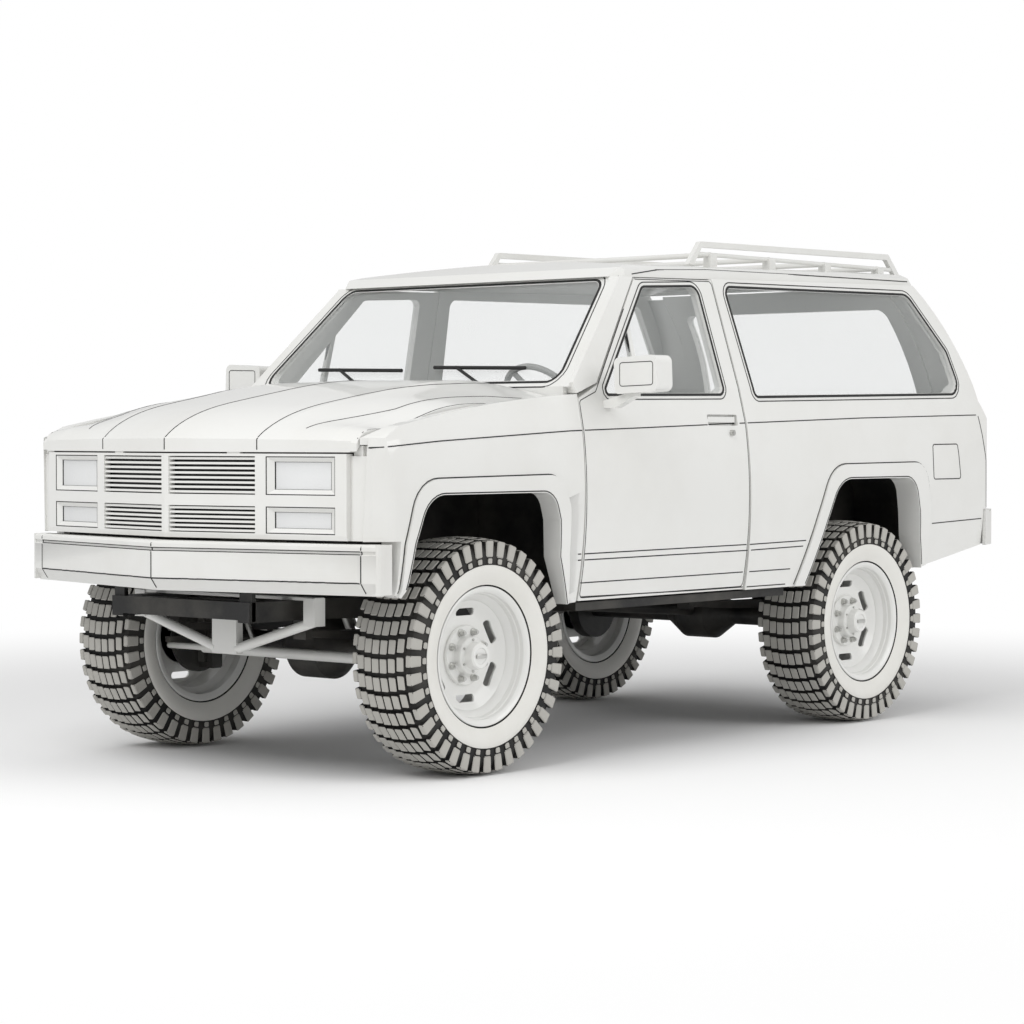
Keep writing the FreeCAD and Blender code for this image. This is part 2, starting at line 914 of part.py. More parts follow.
# Front fenders
def make_fender():
    rear = door_front + shut_gap
    bounds = [
        (rear, panel_low),
        (rear, level(1508)),
        bow(ahead(160), level(1440)),
        (ahead(745), level(1330)),
        (ahead(758), level(1290)),
        (ahead(742), level(940)),
        (ahead(590), level(940)),
        (ahead(580), level(700)),
        (ahead(500), level(640)),
        (ahead(-300), level(640)),
    ]
    shell = lipped(
        "fender", bounds, rear, ahead(800), fender_rake, front_arch, front_flare, fender_wall, fender_wall
    )
    top = prism(
        "fender_top",
        SIDE,
        [
            (rear, level(1508)),
            bow(ahead(160), level(1440)),
            (ahead(745), level(1330)),
            (ahead(745), level(1304)),
            bow(ahead(160), level(1414)),
            (rear, level(1482)),
        ],
        inboard(88),
        inboard(30),
    )
    trimmed_top = common(
        "fender_top_trimmed",
        top,
        side_band("fender_top_band", rear, ahead(800), fender_rake, 0, 300, 300),
    )
    face = prism(
        "fender_face",
        PLAN,
        [
            (ahead(674), inboard(142)),
            (ahead(738), inboard(70)),
            (ahead(738), inboard(10)),
            (ahead(700), inboard(10)),
            (ahead(700), inboard(88)),
            (ahead(650), inboard(142)),
        ],
        level(942),
        level(1262),
    )
    trimmed_face = common(
        "fender_face_trimmed",
        face,
        side_band("fender_face_band", rear, ahead(800), fender_rake, 0, 300, 300),
    )
    closing = block(
        "fender_closing_plate", (rear, rear + plate), (rocker_inner, inboard(62)), (level(700), level(1450))
    )
    return fuse("fender", shell, trimmed_top, trimmed_face, closing)


both_sides("fender", make_fender())

# Rear quarters, with the pillar behind the door and the rear corner post
back_face = aft(-1070)
bumper_front = aft(-975)
quarter_front = door_rear - shut_gap
quarter_glass_outline = [
    (aft(905), level(1516), 25),
    (aft(-800), level(1548), 60),
    (aft(-750), level(1745), 60),
    (aft(-510), level(2012), 80),
    (aft(968), level(1990), 35),
]
rear_line = [
    (back_face, level(980)),
    (aft(-1066), level(1270)),
    bow(aft(-1030), level(1400)),
    (aft(-962), level(1510)),
    bow(aft(-800), level(1850)),
    (aft(-600), level(2058)),
]


def inset(line, depth):
    """The same side-view line moved forward, to close a wall of that depth."""
    moved = []
    for point in reversed(line):
        pair = (point[0] + depth, point[1])
        moved.append(Bow(pair) if isinstance(point, Bow) else pair)
    return moved


def make_quarter():
    bounds = [
        (quarter_front, panel_low),
        (quarter_front + 20, level(1390)),
        (quarter_front + 70, roof_seat(quarter_front + 70)),
        (aft(-585), roof_seat(aft(-585))),
    ]
    bounds += list(reversed(rear_line[:-1]))
    bounds += [
        (bumper_front, level(980)),
        (bumper_front, level(802)),
        (aft(-440), level(712)),
        (aft(-380), level(640)),
        (aft(420), level(640)),
        (aft(520), panel_low),
    ]
    low = back_face
    shell = lipped(
        "quarter", bounds, low, quarter_front + 90, rake, rear_arch, rear_flare, wall, pillar
    )
    post_line = rear_line + inset(rear_line, tailgate_wall)
    post = common(
        "rear_post",
        prism("rear_post_line", SIDE, post_line, tailgate_half + shut_gap, inboard(0)),
        prism(
            "rear_post_bounds",
            SIDE,
            [
                (back_face - 50, level(980)),
                (quarter_front, level(980)),
                (quarter_front, roof_seat(quarter_front)),
                (back_face - 50, roof_seat(back_face - 50)),
            ],
            500,
            1100,
        ),
        side_band("rear_post_band", low, quarter_front, rake, 0, 300, 240),
    )
    rounded = prism(
        "quarter_plan",
        PLAN,
        [
            (back_face, 500),
            (back_face, inboard(10), 90),
            (quarter_front + 200, inboard(-40)),
            (quarter_front + 200, 500),
        ],
        level(500),
        level(2300),
    )
    solid = common("quarter_solid", fuse("quarter_joined", shell, post), rounded)
    window = side_cut("quarter_window", quarter_glass_outline)
    return cut("quarter", solid, window)


both_sides("quarter", make_quarter())


def pane(name, outline_corners, low, high):
    """A side window pane that sits inside its opening."""
    out_face = side_band(name + "_pane_band", low, high, rake, -glass_inset, glass, glass)
    return common(name, out_face, side_cut(name + "_pane_bounds", outline_corners, 600))


left_pane = pane("quarter_pane", quarter_glass_outline, aft(-900), quarter_front + 60)
node("quarter_glass", group("quarter_glass", left_pane, mirrored("quarter_pane_right", left_pane)))

# Doors
window_outline = [
    (ahead(-735), level(1514), 12),
    (ahead(-1136), level(1966), 40),
    (aft(1182), level(1984), 40),
    (aft(1142), level(1524), 25),
]


def make_door():
    bounds = [
        (door_front, door_low),
        (door_front, level(1488), 20),
        (ahead(-700), level(1550), 20),
        (ahead(-1092), roof_seat(ahead(-1092)) - shut_gap, 50),
        (door_rear + 70, roof_seat(door_rear + 70) - shut_gap, 10),
        (door_rear + 20, level(1390)),
        (door_rear, door_low),
    ]
    wall_band = side_band("door_band", door_rear - 10, door_front + 10, rake)
    skin = common("door_skin", wall_band, side_cut("door_bounds", bounds))
    handle_pocket = prism(
        "handle_pocket",
        SIDE,
        [
            (aft(1070), level(1382), 8),
            (aft(1287), level(1382), 8),
            (aft(1287), level(1430), 8),
            (aft(1070), level(1430), 8),
        ],
        inboard(48),
        inboard(-20),
    )
    handle = block(
        "door_handle",
        (aft(1080), aft(1278)),
        (inboard(52), inboard(30)),
        (level(1396), level(1420)),
    )
    opened = cut("door_open", skin, side_cut("door_window", window_outline), handle_pocket)
    divider = common(
        "vent_bar",
        side_band("vent_bar_band", ahead(-1040), ahead(-940), rake, -6, 24, 24),
        side_cut(
            "vent_bar_bounds",
            [
                (ahead(-972), level(1500)),
                (ahead(-996), level(1500)),
                (ahead(-1000), level(1880)),
                (ahead(-976), level(1860)),
            ],
        ),
    )
    return fuse("door", opened, handle, divider)


door = make_door()
both_sides("door", door)
door_pane = pane("door_pane", window_outline, door_rear, door_front)
opened_pane = cut(
    "door_glass",
    door_pane,
    side_cut(
        "door_glass_slot",
        [
            (ahead(-970), level(1480)),
            (ahead(-998), level(1480)),
            (ahead(-1002), level(1900)),
            (ahead(-974), level(1900)),
        ],
    ),
)
both_sides("door_glass", opened_pane)

mirror_case = prism(
    "mirror_case",
    FRONT,
    [
        (inboard(-40), level(1508), 20),
        (inboard(-262), level(1520), 30),
        (inboard(-256), level(1668), 30),
        (inboard(-34), level(1656), 25),
    ],
    ahead(-790),
    ahead(-690),
)
mirror_hollow = prism(
    "mirror_hollow",
    FRONT,
    [
        (inboard(-52), level(1520), 14),
        (inboard(-250), level(1531), 22),
        (inboard(-245), level(1656), 22),
        (inboard(-46), level(1645), 18),
    ],
    ahead(-800),
    ahead(-776),
)
mirror_arm = prism(
    "mirror_arm",
    FRONT,
    [
        (inboard(46), level(1452)),
        (inboard(46), level(1480)),
        (inboard(-120), level(1522)),
        (inboard(-120), level(1500)),
        (inboard(-20), level(1452)),
    ],
    ahead(-760),
    ahead(-715),
)
mirror_whole = fuse("mirror_whole", cut("mirror_shell", mirror_case, mirror_hollow), mirror_arm)
both_sides("mirror", cut("mirror", mirror_whole, door))

# Roof
roof_front = ahead(-965)
roof_rear = aft(-600)


def make_roof():
    rise = (front_axle - roof_rear) * rake
    edge = inboard(206)
    outer = [
        (-edge - 12, eaves_up + rise - 30),
        (-edge - 12, eaves_up + rise + 4),
        (-edge + 30, eaves_up + rise + 22),
        bow(0, eaves_up + rise + 64),
        (edge - 30, eaves_up + rise + 22),
        (edge + 12, eaves_up + rise + 4),
        (edge + 12, eaves_up + rise - 30),
        (edge - 30, eaves_up + rise - 30),
        bow(0, eaves_up + rise + 20),
        (30 - edge, eaves_up + rise - 30),
    ]
    shell = prism("roof_shell", FRONT, outer, roof_rear, roof_front, (0, 0, -rake))
    filled = prism("roof_filled", FRONT, outer[:7], roof_rear, roof_front, (0, 0, -rake))
    ends = group(
        "roof_ends",
        block("roof_rear_end", (roof_rear - 20, roof_rear + 50), (-1000, 1000), (level(1900), level(2300))),
        block("roof_front_end", (roof_front - 130, roof_front + 10), (-1000, 1000), (level(1900), level(2300))),
    )
    span = fuse("roof_span", shell, common("roof_headers", filled, ends))
    bounds = [
        (roof_front, level(1960)),
        (roof_front, level(2004)),
        (roof_front - 70, level(2054)),
        (roof_front - 320, level(2110)),
        (roof_front - 320, level(2260)),
        (roof_rear + 30, level(2260)),
        (roof_rear + 30, level(2100)),
        (roof_rear - 10, level(2064)),
        (roof_rear - 10, level(1900)),
    ]
    side_view = prism("roof_bounds", SIDE, bounds, -1000, 1000)
    top_view = prism(
        "roof_plan",
        PLAN,
        [
            (roof_rear - 10, -900),
            (roof_rear - 10, 900),
            (roof_front - 260, 900),
            (roof_front, 760),
            (roof_front, -760),
            (roof_front - 260, -900),
        ],
        level(1900),
        level(2300),
    )
    return common("roof", span, side_view, top_view)


roof = node("roof", make_roof())


def make_rack():
    rail = [
        (aft(940), level(2108)),
        (aft(850), level(2214), 20),
        (aft(-700), level(2232), 20),
        (aft(-812), level(2120)),
        (aft(-770), level(2120)),
        (aft(-684), level(2204), 16),
        (aft(838), level(2188), 16),
        (aft(900), level(2108)),
    ]
    upper = prism("rack_rail", SIDE, rail, 588, 612)
    lower = bar("rack_lower_rail", FRONT, (600, level(2158)), 10, aft(-740), aft(870))
    parts = [upper, mirrored("rack_rail_right", upper), lower, mirrored("rack_lower_right", lower)]
    for index in range(4):
        station = aft(760 - 460 * index)
        parts.append(bar("rack_cross_%d" % index, SIDE, (station, level(2158)), 12, -600, 600))
        foot = block(
            "rack_foot",
            (station - 25, station + 25),
            (580, 620),
            (level(2080), level(2160)),
        )
        parts += [foot, mirrored("rack_foot_right", foot)]
    return cut("roof_rack", fuse("rack_whole", *parts), roof)


node("roof_rack", make_rack())

# Windshield, its frame and the cowl
glass_foot = (ahead(-540), level(1556))
glass_head = (ahead(-985), level(2000))


def slanted_band(label, depth_from, depth_to, grow_low=0, grow_high=0):
    """A slab parallel to the windshield, its depth measured straight back from the outer face."""
    corners = [
        (glass_foot[0] - depth_from + grow_low, glass_foot[1] - grow_low * 0.9),
        (glass_head[0] - depth_from - grow_high, glass_head[1] + grow_high * 0.9),
        (glass_head[0] - depth_to - grow_high, glass_head[1] + grow_high * 0.9),
        (glass_foot[0] - depth_to + grow_low, glass_foot[1] - grow_low * 0.9),
    ]
    return prism(label, SIDE, corners, -1000, 1000)


glass_view = [
    (-inboard(150), level(1566), 40),
    (-inboard(262), level(1992), 50),
    (inboard(262), level(1992), 50),
    (inboard(150), level(1566), 40),
]
node(
    "windshield",
    common(
        "windshield",
        slanted_band("windshield_slab", 14, 14 + glass * 1.5),
        prism("windshield_view", FRONT, glass_view, ahead(-1200), ahead(-400)),
    ),
)


def make_cowl():
    frame_view = [
        (-inboard(68), level(1530)),
        (-inboard(214), level(2020)),
        (inboard(214), level(2020)),
        (inboard(68), level(1530)),
    ]
    surround = common(
        "windshield_surround",
        slanted_band("surround_slab", 0, 46, 20, 16),
        prism("surround_view", FRONT, frame_view, ahead(-1200), ahead(-400)),
    )
    surround = cut(
        "windshield_frame",
        surround,
        prism("surround_opening", FRONT, glass_view, ahead(-1200), ahead(-400)),
    )
    post = common(
        "windshield_post",
        side_band("windshield_post_band", ahead(-1200), ahead(-500), rake, 0, 90, 70),
        side_cut(
            "windshield_post_bounds",
            [
                glass_foot,
                glass_head,
                (glass_head[0] - 6, roof_seat(glass_head[0] - 6)),
                (ahead(-1084), roof_seat(ahead(-1084))),
                (ahead(-692), level(1556)),
                (door_front + 2, level(1512)),
            ],
            500,
        ),
    )
    firewall = block(
        "firewall",
        (ahead(-650), ahead(-642)),
        (-inboard(150), inboard(150)),
        (level(716) + plate, level(1500)),
    )
    deck = prism(
        "cowl_deck",
        PLAN,
        [
            (ahead(-650), -inboard(142)),
            (ahead(-650), inboard(142)),
            (door_front + shut_gap, inboard(142)),
            (door_front + shut_gap, inboard(96)),
            (ahead(-521), inboard(96)),
            (ahead(-486), 0),
            (ahead(-521), -inboard(96)),
            (door_front + shut_gap, -inboard(96)),
            (door_front + shut_gap, -inboard(142)),
        ],
        level(1490),
        level(1540),
    )
    pillars = []
    for sign, label in ((1, "left"), (-1, "right")):
        for inner, outer, floor_up in ((inboard(230), inboard(142), level(716) + plate),):
            low, high = (inner, outer) if sign > 0 else (-outer, -inner)
            pillars.append(
                block("hinge_pillar_" + label, (ahead(-650), ahead(-580)), (low, high), (floor_up, level(1500)))
            )
        inner, outer = inboard(142), inboard(132) - fit
        low, high = (inner, outer) if sign > 0 else (-outer, -inner)
        pillars.append(
            block("door_seal_" + label, (ahead(-640), ahead(-600)), (low, high), (level(760), level(800)))
        )
    whole = fuse("cowl_whole", surround, post, mirrored("windshield_post_right", post), firewall, deck, *pillars)
    return cut("cowl", whole, roof)


cowl = node("cowl", make_cowl())

# Hood, swept back from the centre line
def swept(label, side_view, start, stop):
    """A side-view outline at the centre line, drawn out sideways along the swept nose."""
    moved = []
    for corner in side_view:
        moved.append((sized(corner[0]) - sweep * start,) + tuple(corner[1:]))
    return prism(label, SIDE, moved, start, stop, (-sweep, 0, 0))


hood_nose = ahead(836)
hood_rows = (
    (0, 1329),
    (70, 1379),
    (180, 1427),
    (350, 1470),
    (660, 1524),
    (1290, 1562),
)


def make_hood():
    angle = math.degrees(math.atan(sweep.number))
    turn = Rotation(Vector(0, 0, 1), angle).multiply(FRONT.turn)
    rows = []
    half = inboard(96)
    for index, (back, height) in enumerate(hood_rows):
        corners = [
            (-60, level(height)),
            (500, level(height - 4)),
            (800, level(height - 40 if back > 100 else height - 8)),
            (half + 40, level(height - 66 if back > 100 else height - 22)),
            (half + 40, level(height - 66 if back > 100 else height - 22) - hood_wall),
            (-60, level(height) - hood_wall),
        ]
        sketch = outline("hood_row_%d" % index, FRONT, corners)
        place(sketch, (hood_nose - back, 0, 0), turn)
        rows.append(sketch)
    loft = doc.addObject("Part::Loft", "hood_loft")
    loft.Sections = rows
    loft.Solid = True
    loft.Ruled = False
    loft.MaxDegree = 3
    bounds = prism(
        "hood_plan",
        PLAN,
        [
            (ahead(1000), 0),
            (ahead(1000), half),
            (ahead(-515), half),
            (ahead(-480), 0),
        ],
        level(1000),
        level(1800),
    )
    lip = swept(
        "hood_lip",
        [
            (hood_nose - 30, level(1276)),
            (hood_nose, level(1276)),
            (hood_nose, level(1318)),
            (hood_nose - 30, level(1318)),
        ],
        0,
        half - 30,
    )
    half_hood = fuse("hood_half", common("hood_skin", loft, bounds), lip)
    return fuse("hood", half_hood, mirrored("hood_other_half", half_hood))


node("hood", make_hood())

# Front panel with grille louvres, and lamps
face_ahead = ahead(836)
face_depth = 34


def face_block(label, start, stop, low, high, depth_from, depth_to):
    """A slab parallel to the swept nose; depths are measured back from its face."""
    corners = [
        (face_ahead - depth_from, level(low)),
        (face_ahead - depth_to, level(low)),
        (face_ahead - depth_to, level(high)),
        (face_ahead - depth_from, level(high)),
    ]
    return swept(label, corners, start, stop)


grille_upper = (1112, 1260, 8)
grille_lower = (964, 1068, 6)
lamp_start = 486
lamp_stop = 806


def make_face():
    panel_view = [
        (face_ahead - 6, level(942)),
        (face_ahead, level(960)),
        (face_ahead, level(1270)),
        (face_ahead - face_depth, level(1270)),
        (face_ahead - face_depth, level(942)),
    ]
    panel = swept("face_panel", panel_view, 0, inboard(142))
    holes = []
    for low, high, count in (grille_upper, grille_lower):
        holes.append(face_block("cell_hole", 20, 436, low, high, -20, 80))
        holes.append(face_block("lamp_hole", lamp_start, lamp_stop, low, high, -20, 80))
    pierced = cut("face_pierced", panel, *holes)
    slats = []
    for low, high, count in (grille_upper, grille_lower):
        pitch = (high - low) / count
        for index in range(count):
            middle = low + pitch * (index + 0.5)
            slats.append(face_block("slat", 18, 438, middle - 4.5, middle + 4.5, 6, 28))
    stop = face_block("hood_stop", 300, 360, 1268, 1276 - fit, 4, 24)
    half_face = fuse("face_half", pierced, stop, *slats)
    return fuse("grille_panel", half_face, mirrored("face_other_half", half_face))


node("grille_panel", make_face())


def make_front_lamps():
    parts = []
    for low, high, count in (grille_upper, grille_lower):
        lens = face_block("lens", fit + lamp_start, lamp_stop - fit, low + fit, high - fit, 20, 60)
        parts.append(lens)
        parts.append(mirrored("lens_right", lens))
    return group("front_lamps", *parts)


node("front_lamps", make_front_lamps())

# Bumpers
def make_front_bumper():
    sheet_gauge = 8
    bar_view = [
        (nose - 100, level(930)),
        (nose - 12, level(930)),
        (nose, level(920)),
        (nose, level(906)),
        (nose - 7, level(902)),
        (nose - 7, level(893)),
        (nose, level(889)),
        (nose, level(784)),
        (nose - 36, level(735)),
        (nose - 70, level(735)),
        (nose - 70, level(743)),
        (nose - 41, level(743)),
        (nose - 15, level(786)),
        (nose - 15, level(921)),
        (nose - 100, level(921)),
    ]
    half = swept("bumper_half", bar_view, 0, inboard(16))
    end_plan = [
        (nose - sweep * inboard(16), inboard(18)),
        (nose - sweep * inboard(16) - 2, inboard(0), 12),
        (ahead(590), inboard(10)),
        (ahead(590), inboard(22)),
        (nose - sweep * inboard(16) - 30, inboard(20)),
    ]
    end_wall = prism("bumper_end", PLAN, end_plan, level(740), level(929))
    bracket = block("bumper_bracket", (nose - 150, nose - 74), (rail_in, rail_out), (level(790), level(900)))
    bracket_drop = block(
        "bumper_bracket_drop",
        (nose - 150, nose - 130),
        (rail_in, rail_out),
        (rail_low + 45, level(900)),
    )
    half_bumper = fuse("bumper_side", half, end_wall, bracket, bracket_drop)
    return fuse("front_bumper", half_bumper, mirrored("bumper_other_side", half_bumper))


node("front_bumper", make_front_bumper())
ball_hole = cell("tow_hole_radius", 13)
doc.recompute()


def make_rear_bumper():
    plan = [
        (tail, -inboard(60), 50),
        (tail, inboard(60), 50),
        (bumper_front - 3, inboard(-4)),
        (bumper_front - 3, inboard(14)),
        (tail + 40, inboard(74), 40),
        (tail + 40, -inboard(74), 40),
        (bumper_front - 3, -inboard(14)),
        (bumper_front - 3, -inboard(-4)),
    ]
    wall_ring = prism("rear_bumper_wall", PLAN, plan, level(800), level(974))
    step = prism(
        "rear_bumper_step",
        PLAN,
        [
            (tail + 2, -inboard(64), 46),
            (tail + 2, inboard(64), 46),
            (back_face - 4, inboard(24)),
            (back_face - 4, -inboard(24)),
        ],
        level(964),
        level(974),
    )
    hitch = block("hitch_plate", (tail + 4, tail + 100), (-110, 110), (level(964), level(974)))
    hole = bar("tow_hole", PLAN, (tail + 62, 0), ball_hole, level(900), level(1000))
    bracket = block("rear_bracket", (tail + 30, tail + 120), (rail_in, rail_out), (rail_low + 44, level(870)))
    return cut(
        "rear_bumper",
        fuse("rear_bumper_whole", wall_ring, step, hitch, bracket, mirrored("rear_bracket_right", bracket)),
        hole,
    )


node("rear_bumper", make_rear_bumper())

# Tailgate
def make_tailgate():
    low_up = level(990)
    line = [(back_face, low_up)] + rear_line[1:]
    band = prism("tailgate_band", SIDE, line + inset(line, tailgate_wall), -tailgate_half, tailgate_half)
    view = [
        (-tailgate_half, level(900)),
        (-tailgate_half, level(1480)),
        (-tailgate_half + 70, level(2062), 30),
        (tailgate_half - 70, level(2062), 30),
        (tailgate_half, level(1480)),
        (tailgate_half, level(900)),
    ]
    shaped = common("tailgate_shaped", band, prism("tailgate_view", FRONT, view, aft(-1200), aft(-300)))
    plate_pocket = block(
        "plate_pocket",
        (back_face - 10, back_face + 12),
        (-170, 170),
        (level(1080), level(1210)),
    )
    return cut("tailgate", shaped, prism("rear_window", FRONT, rear_glass_view, aft(-1200), aft(-300)), plate_pocket)


rear_glass_view = [
    (90 - tailgate_half, level(1510), 40),
    (140 - tailgate_half, level(1960), 50),
    (tailgate_half - 140, level(1960), 50),
    (tailgate_half - 90, level(1510), 40),
]
node("tailgate", make_tailgate())


def moved(line, shift):
    return [Bow((point[0] + shift, point[1])) if isinstance(point, Bow) else (point[0] + shift, point[1]) for point in line]


outer_line = moved(rear_line, 14)
node(
    "tailgate_glass",
    common(
        "tailgate_glass",
        prism("rear_pane_band", SIDE, outer_line + inset(outer_line, glass), -tailgate_half, tailgate_half),
        prism("rear_pane_view", FRONT, rear_glass_view, aft(-1200), aft(-300)),
    ),
)


def make_tail_lamps():
    lamp = block(
        "tail_lamp",
        (back_face - 16, back_face - fit),
        (tailgate_half + 20, inboard(90)),
        (level(1010), level(1250)),
    )
    return group("tail_lamps", lamp, mirrored("tail_lamp_right", lamp))


node("tail_lamps", make_tail_lamps())

# Floor, sills and wheel wells
def make_floor():
    pan_up = level(716)
    load_up = level(830)
    deep = inboard(134)
    pan = block("floor_plate", (aft(640), ahead(-580)), (-rocker_inner, rocker_inner), (pan_up, pan_up + plate))
    load_plan = [
        (aft(640), -rocker_inner),
        (aft(640), rocker_inner),
        (aft(564), rocker_inner),
        (aft(564), well_side - plate),
        (aft(-544), well_side - plate),
        (aft(-544), deep),
        (aft(-1000), deep),
        (aft(-1000), -deep),
        (aft(-544), -deep),
        (aft(-544), plate - well_side),
        (aft(564), plate - well_side),
        (aft(564), -rocker_inner),
    ]
    load = prism("load_floor", PLAN, load_plan, load_up, load_up + plate)
    riser = block("load_riser", (aft(640), aft(640) + plate), (-rocker_inner, rocker_inner), (pan_up, load_up + plate))
    tail_sill = block(
        "tail_sill", (aft(-1012), aft(-1000)), (-inboard(150), inboard(150)), (load_up - 60, level(975))
    )
    tail_stop = block("tailgate_stop", (aft(-1040), aft(-1000)), (-60, 60), (level(960), level(990) - fit))
    parts = [pan, load, riser, tail_sill, tail_stop]
    for sign, label in ((1, "left"), (-1, "right")):
        for name, inner, outer, low_up, high_up in (
            ("rocker", rocker_inner, inboard(76), level(620), level(654)),
            ("rocker_web", rocker_inner - plate, rocker_inner, level(620), pan_up + plate),
        ):
            low, high = (inner, outer) if sign > 0 else (-outer, -inner)
            parts.append(block(name + "_" + label, (aft(640), ahead(-580)), (low, high), (low_up, high_up)))
    tunnel = prism(
        "tunnel",
        FRONT,
        [
            (-190, pan_up + plate),
            (-130, level(860), 40),
            (130, level(860), 40),
            (190, pan_up + plate),
            (184, pan_up + plate),
            (126, level(856), 38),
            (-126, level(856), 38),
            (-184, pan_up + plate),
        ],
        ahead(-1500),
        ahead(-650),
    )
    return fuse("floor_pan", *(parts + [tunnel]))


well_side = cell("rear_well_offset", 524)
doc.recompute()
node("floor_pan", make_floor())


def well(name, station, front_reach, rear_reach, inner_side, outer_side, roof_height):
    """A wheel well: a bent sheet over the tyre with an inner wall."""
    low = level(700)
    shell = prism(
        name + "_arch",
        SIDE,
        [
            (station - rear_reach, low),
            (station - rear_reach, level(roof_height), 180),
            (station + front_reach, level(roof_height), 180),
            (station + front_reach, low + 150),
            (station + front_reach - plate, low + 150),
            (station + front_reach - plate, level(roof_height) - plate, 176),
            (station - rear_reach + plate, level(roof_height) - plate, 176),
            (station - rear_reach + plate, low),
        ],
        inner_side,
        outer_side,
    )
    inner = prism(
        name + "_wall",
        SIDE,
        [
            (station - rear_reach, low),
            (station - rear_reach, level(roof_height), 180),
            (station + front_reach, level(roof_height), 180),
            (station + front_reach, low + 150),
            (station + 200, low + 100),
            (station - 200, low + 100),
        ],
        inner_side - plate,
        inner_side,
    )
    return fuse(name, shell, inner)


front_well = cut(
    "front_well_trimmed",
    well("front_well", front_axle, 560, 575, 402, inboard(104), 1200),
    block(
        "front_well_door_room",
        (ahead(-700), door_front + shut_gap + plate),
        (rocker_inner, inboard(0)),
        (level(600), level(1300)),
    ),
)
rear_well = well("rear_well", rear_axle, 560, 540, well_side, inboard(136), 1180)
node("front_wheel_wells", group("front_wheel_wells", front_well, mirrored("front_well_right", front_well)))
node("rear_wheel_wells", group("rear_wheel_wells", rear_well, mirrored("rear_well_right", rear_well)))

# Cabin fittings
dash_view = [
    (ahead(-650), level(1180)),
    (ahead(-650), level(1470)),
    (ahead(-700), level(1484), 30),
    (ahead(-880), level(1440), 40),
    (ahead(-900), level(1300), 30),
    (ahead(-820), level(1180), 40),
]
dashboard = node("dashboard", prism("dashboard", SIDE, dash_view, -inboard(140), inboard(140)))


def make_steering_wheel():
    centre = (ahead(-1000), 400, level(1480))
    section = []
    for index in range(8):
        angle = math.radians(45 * index)
        section.append((190 + 14 * math.cos(angle), 14 * math.sin(angle)))
    rim_ring = turned("steering_rim", section, (0, 0, 0), (0, 0, 1))
    tilt = Rotation(Vector(0, 1, 0), -55)
    place(rim_ring, centre, tilt)
    parts = [rim_ring]
    parts.append(
        stay(
            "steering_column",
            centre,
            (ahead(-870), 400, level(1390)),
            28,
        )
    )
    for angle in (90, 210, 330):
        reach = tilt.multVec(Vector(186 * math.cos(math.radians(angle)), 186 * math.sin(math.radians(angle)), 0))
        parts.append(
            stay(
                "spoke",
                centre,
                (centre[0] + reach.x, centre[1] + reach.y, centre[2] + reach.z),
                12,
            )
        )
    return cut("steering_wheel", fuse("steering_whole", *parts), dashboard)


node("steering_wheel", make_steering_wheel())


def make_seat(name, station, low, high, base_up, back_up, floor_up):
    """A cushion and a reclined back, drawn from the side."""
    cushion = [
        (station, level(base_up)),
        (station + 500, level(base_up), 40),
        (station + 520, level(base_up + 170), 50),
        (station + 60, level(base_up + 140), 20),
    ]
    back = [
        (station - 20, level(base_up), 30),
        (station + 80, level(base_up), 30),
        (station + 70, level(base_up + 160)),
        (station - 60, level(back_up), 40),
        (station - 160, level(back_up), 40),
    ]
    pad = prism(name + "_cushion", SIDE, cushion, low, high)
    rest = prism(name + "_back", SIDE, back, low, high)
    foot = block(
        name + "_foot",
        (station + 60, station + 200),
        (sized(low) + 60, sized(high) - 60),
        (floor_up, level(base_up + 10)),
    )
    return fuse(name, pad, rest, foot)


driver = make_seat("driver_seat", ahead(-1680), 210, 720, 850, 1520, level(716) + plate)
node("front_seats", group("front_seats", driver, mirrored("passenger_seat", driver)))
node("rear_bench", make_seat("rear_bench", aft(400), -500, 500, 880, 1480, level(830) + plate))

# Engine, gearbox, shafts, exhaust and tank
node("engine", block("engine", (ahead(-560), ahead(300)), (-250, 250), (level(700), level(1320))))
gearbox_parts = [
    block("gearbox_case", (ahead(-1020), ahead(-620)), (-120, 120), (rail_low - 20, level(700))),
    block("bell_case", (ahead(-660), ahead(-560)), (-180, 180), (rail_low + 10, level(705))),
    block("transfer_case", (ahead(-1220), ahead(-1000)), (-130, 250), (rail_low - 30, level(702))),
]
gearbox = node("gearbox", fuse("gearbox", *gearbox_parts))
shafts = group(
    "driveshafts_whole",
    stay("front_shaft", (ahead(-1010), 185, rail_low + 20), (ahead(-110), 60, wheel_up + 20), 26),
    stay("rear_shaft", (ahead(-1210), 0, rail_low + 20), (aft(60), 0, wheel_up + 20), 30),
)
node("driveshafts", cut("driveshafts", shafts, gearbox, front_axle_node, rear_axle_node))
node(
    "exhaust",
    fuse(
        "exhaust",
        bar("exhaust_pipe", FRONT, (-232, rail_low - 2), 25, tail + 200, ahead(-500)),
        bar("muffler", FRONT, (-232, rail_low - 2), 70, ahead(-1850), ahead(-1400)),
    ),
)
tank = prism(
    "fuel_tank",
    SIDE,
    [
        (aft(-960), level(560), 20),
        (aft(-520), level(540), 20),
        (aft(-520), rail_low + 45 - fit, 12),
        (aft(-960), rail_low + 45 - fit, 12),
    ],
    -180,
    320,
)
node("fuel_tank", tank)


def make_wipers():
    parts = []
    for start, stop in ((640, 130), (-60, -560)):
        parts.append(
            stay(
                "wiper_arm",
                (glass_foot[0] + 14, start - 180, level(1547)),
                (glass_foot[0] - 60, stop + 120, glass_foot[1] + 74),
                7,
            )
        )
        parts.append(
            stay(
                "wiper_blade",
                (glass_foot[0] - 56, start, glass_foot[1] + 64),
                (glass_foot[0] - 56, stop, glass_foot[1] + 74),
                8,
            )
        )
    return cut("wipers", group("wipers_whole", *parts), cowl)


node("wipers", make_wipers())

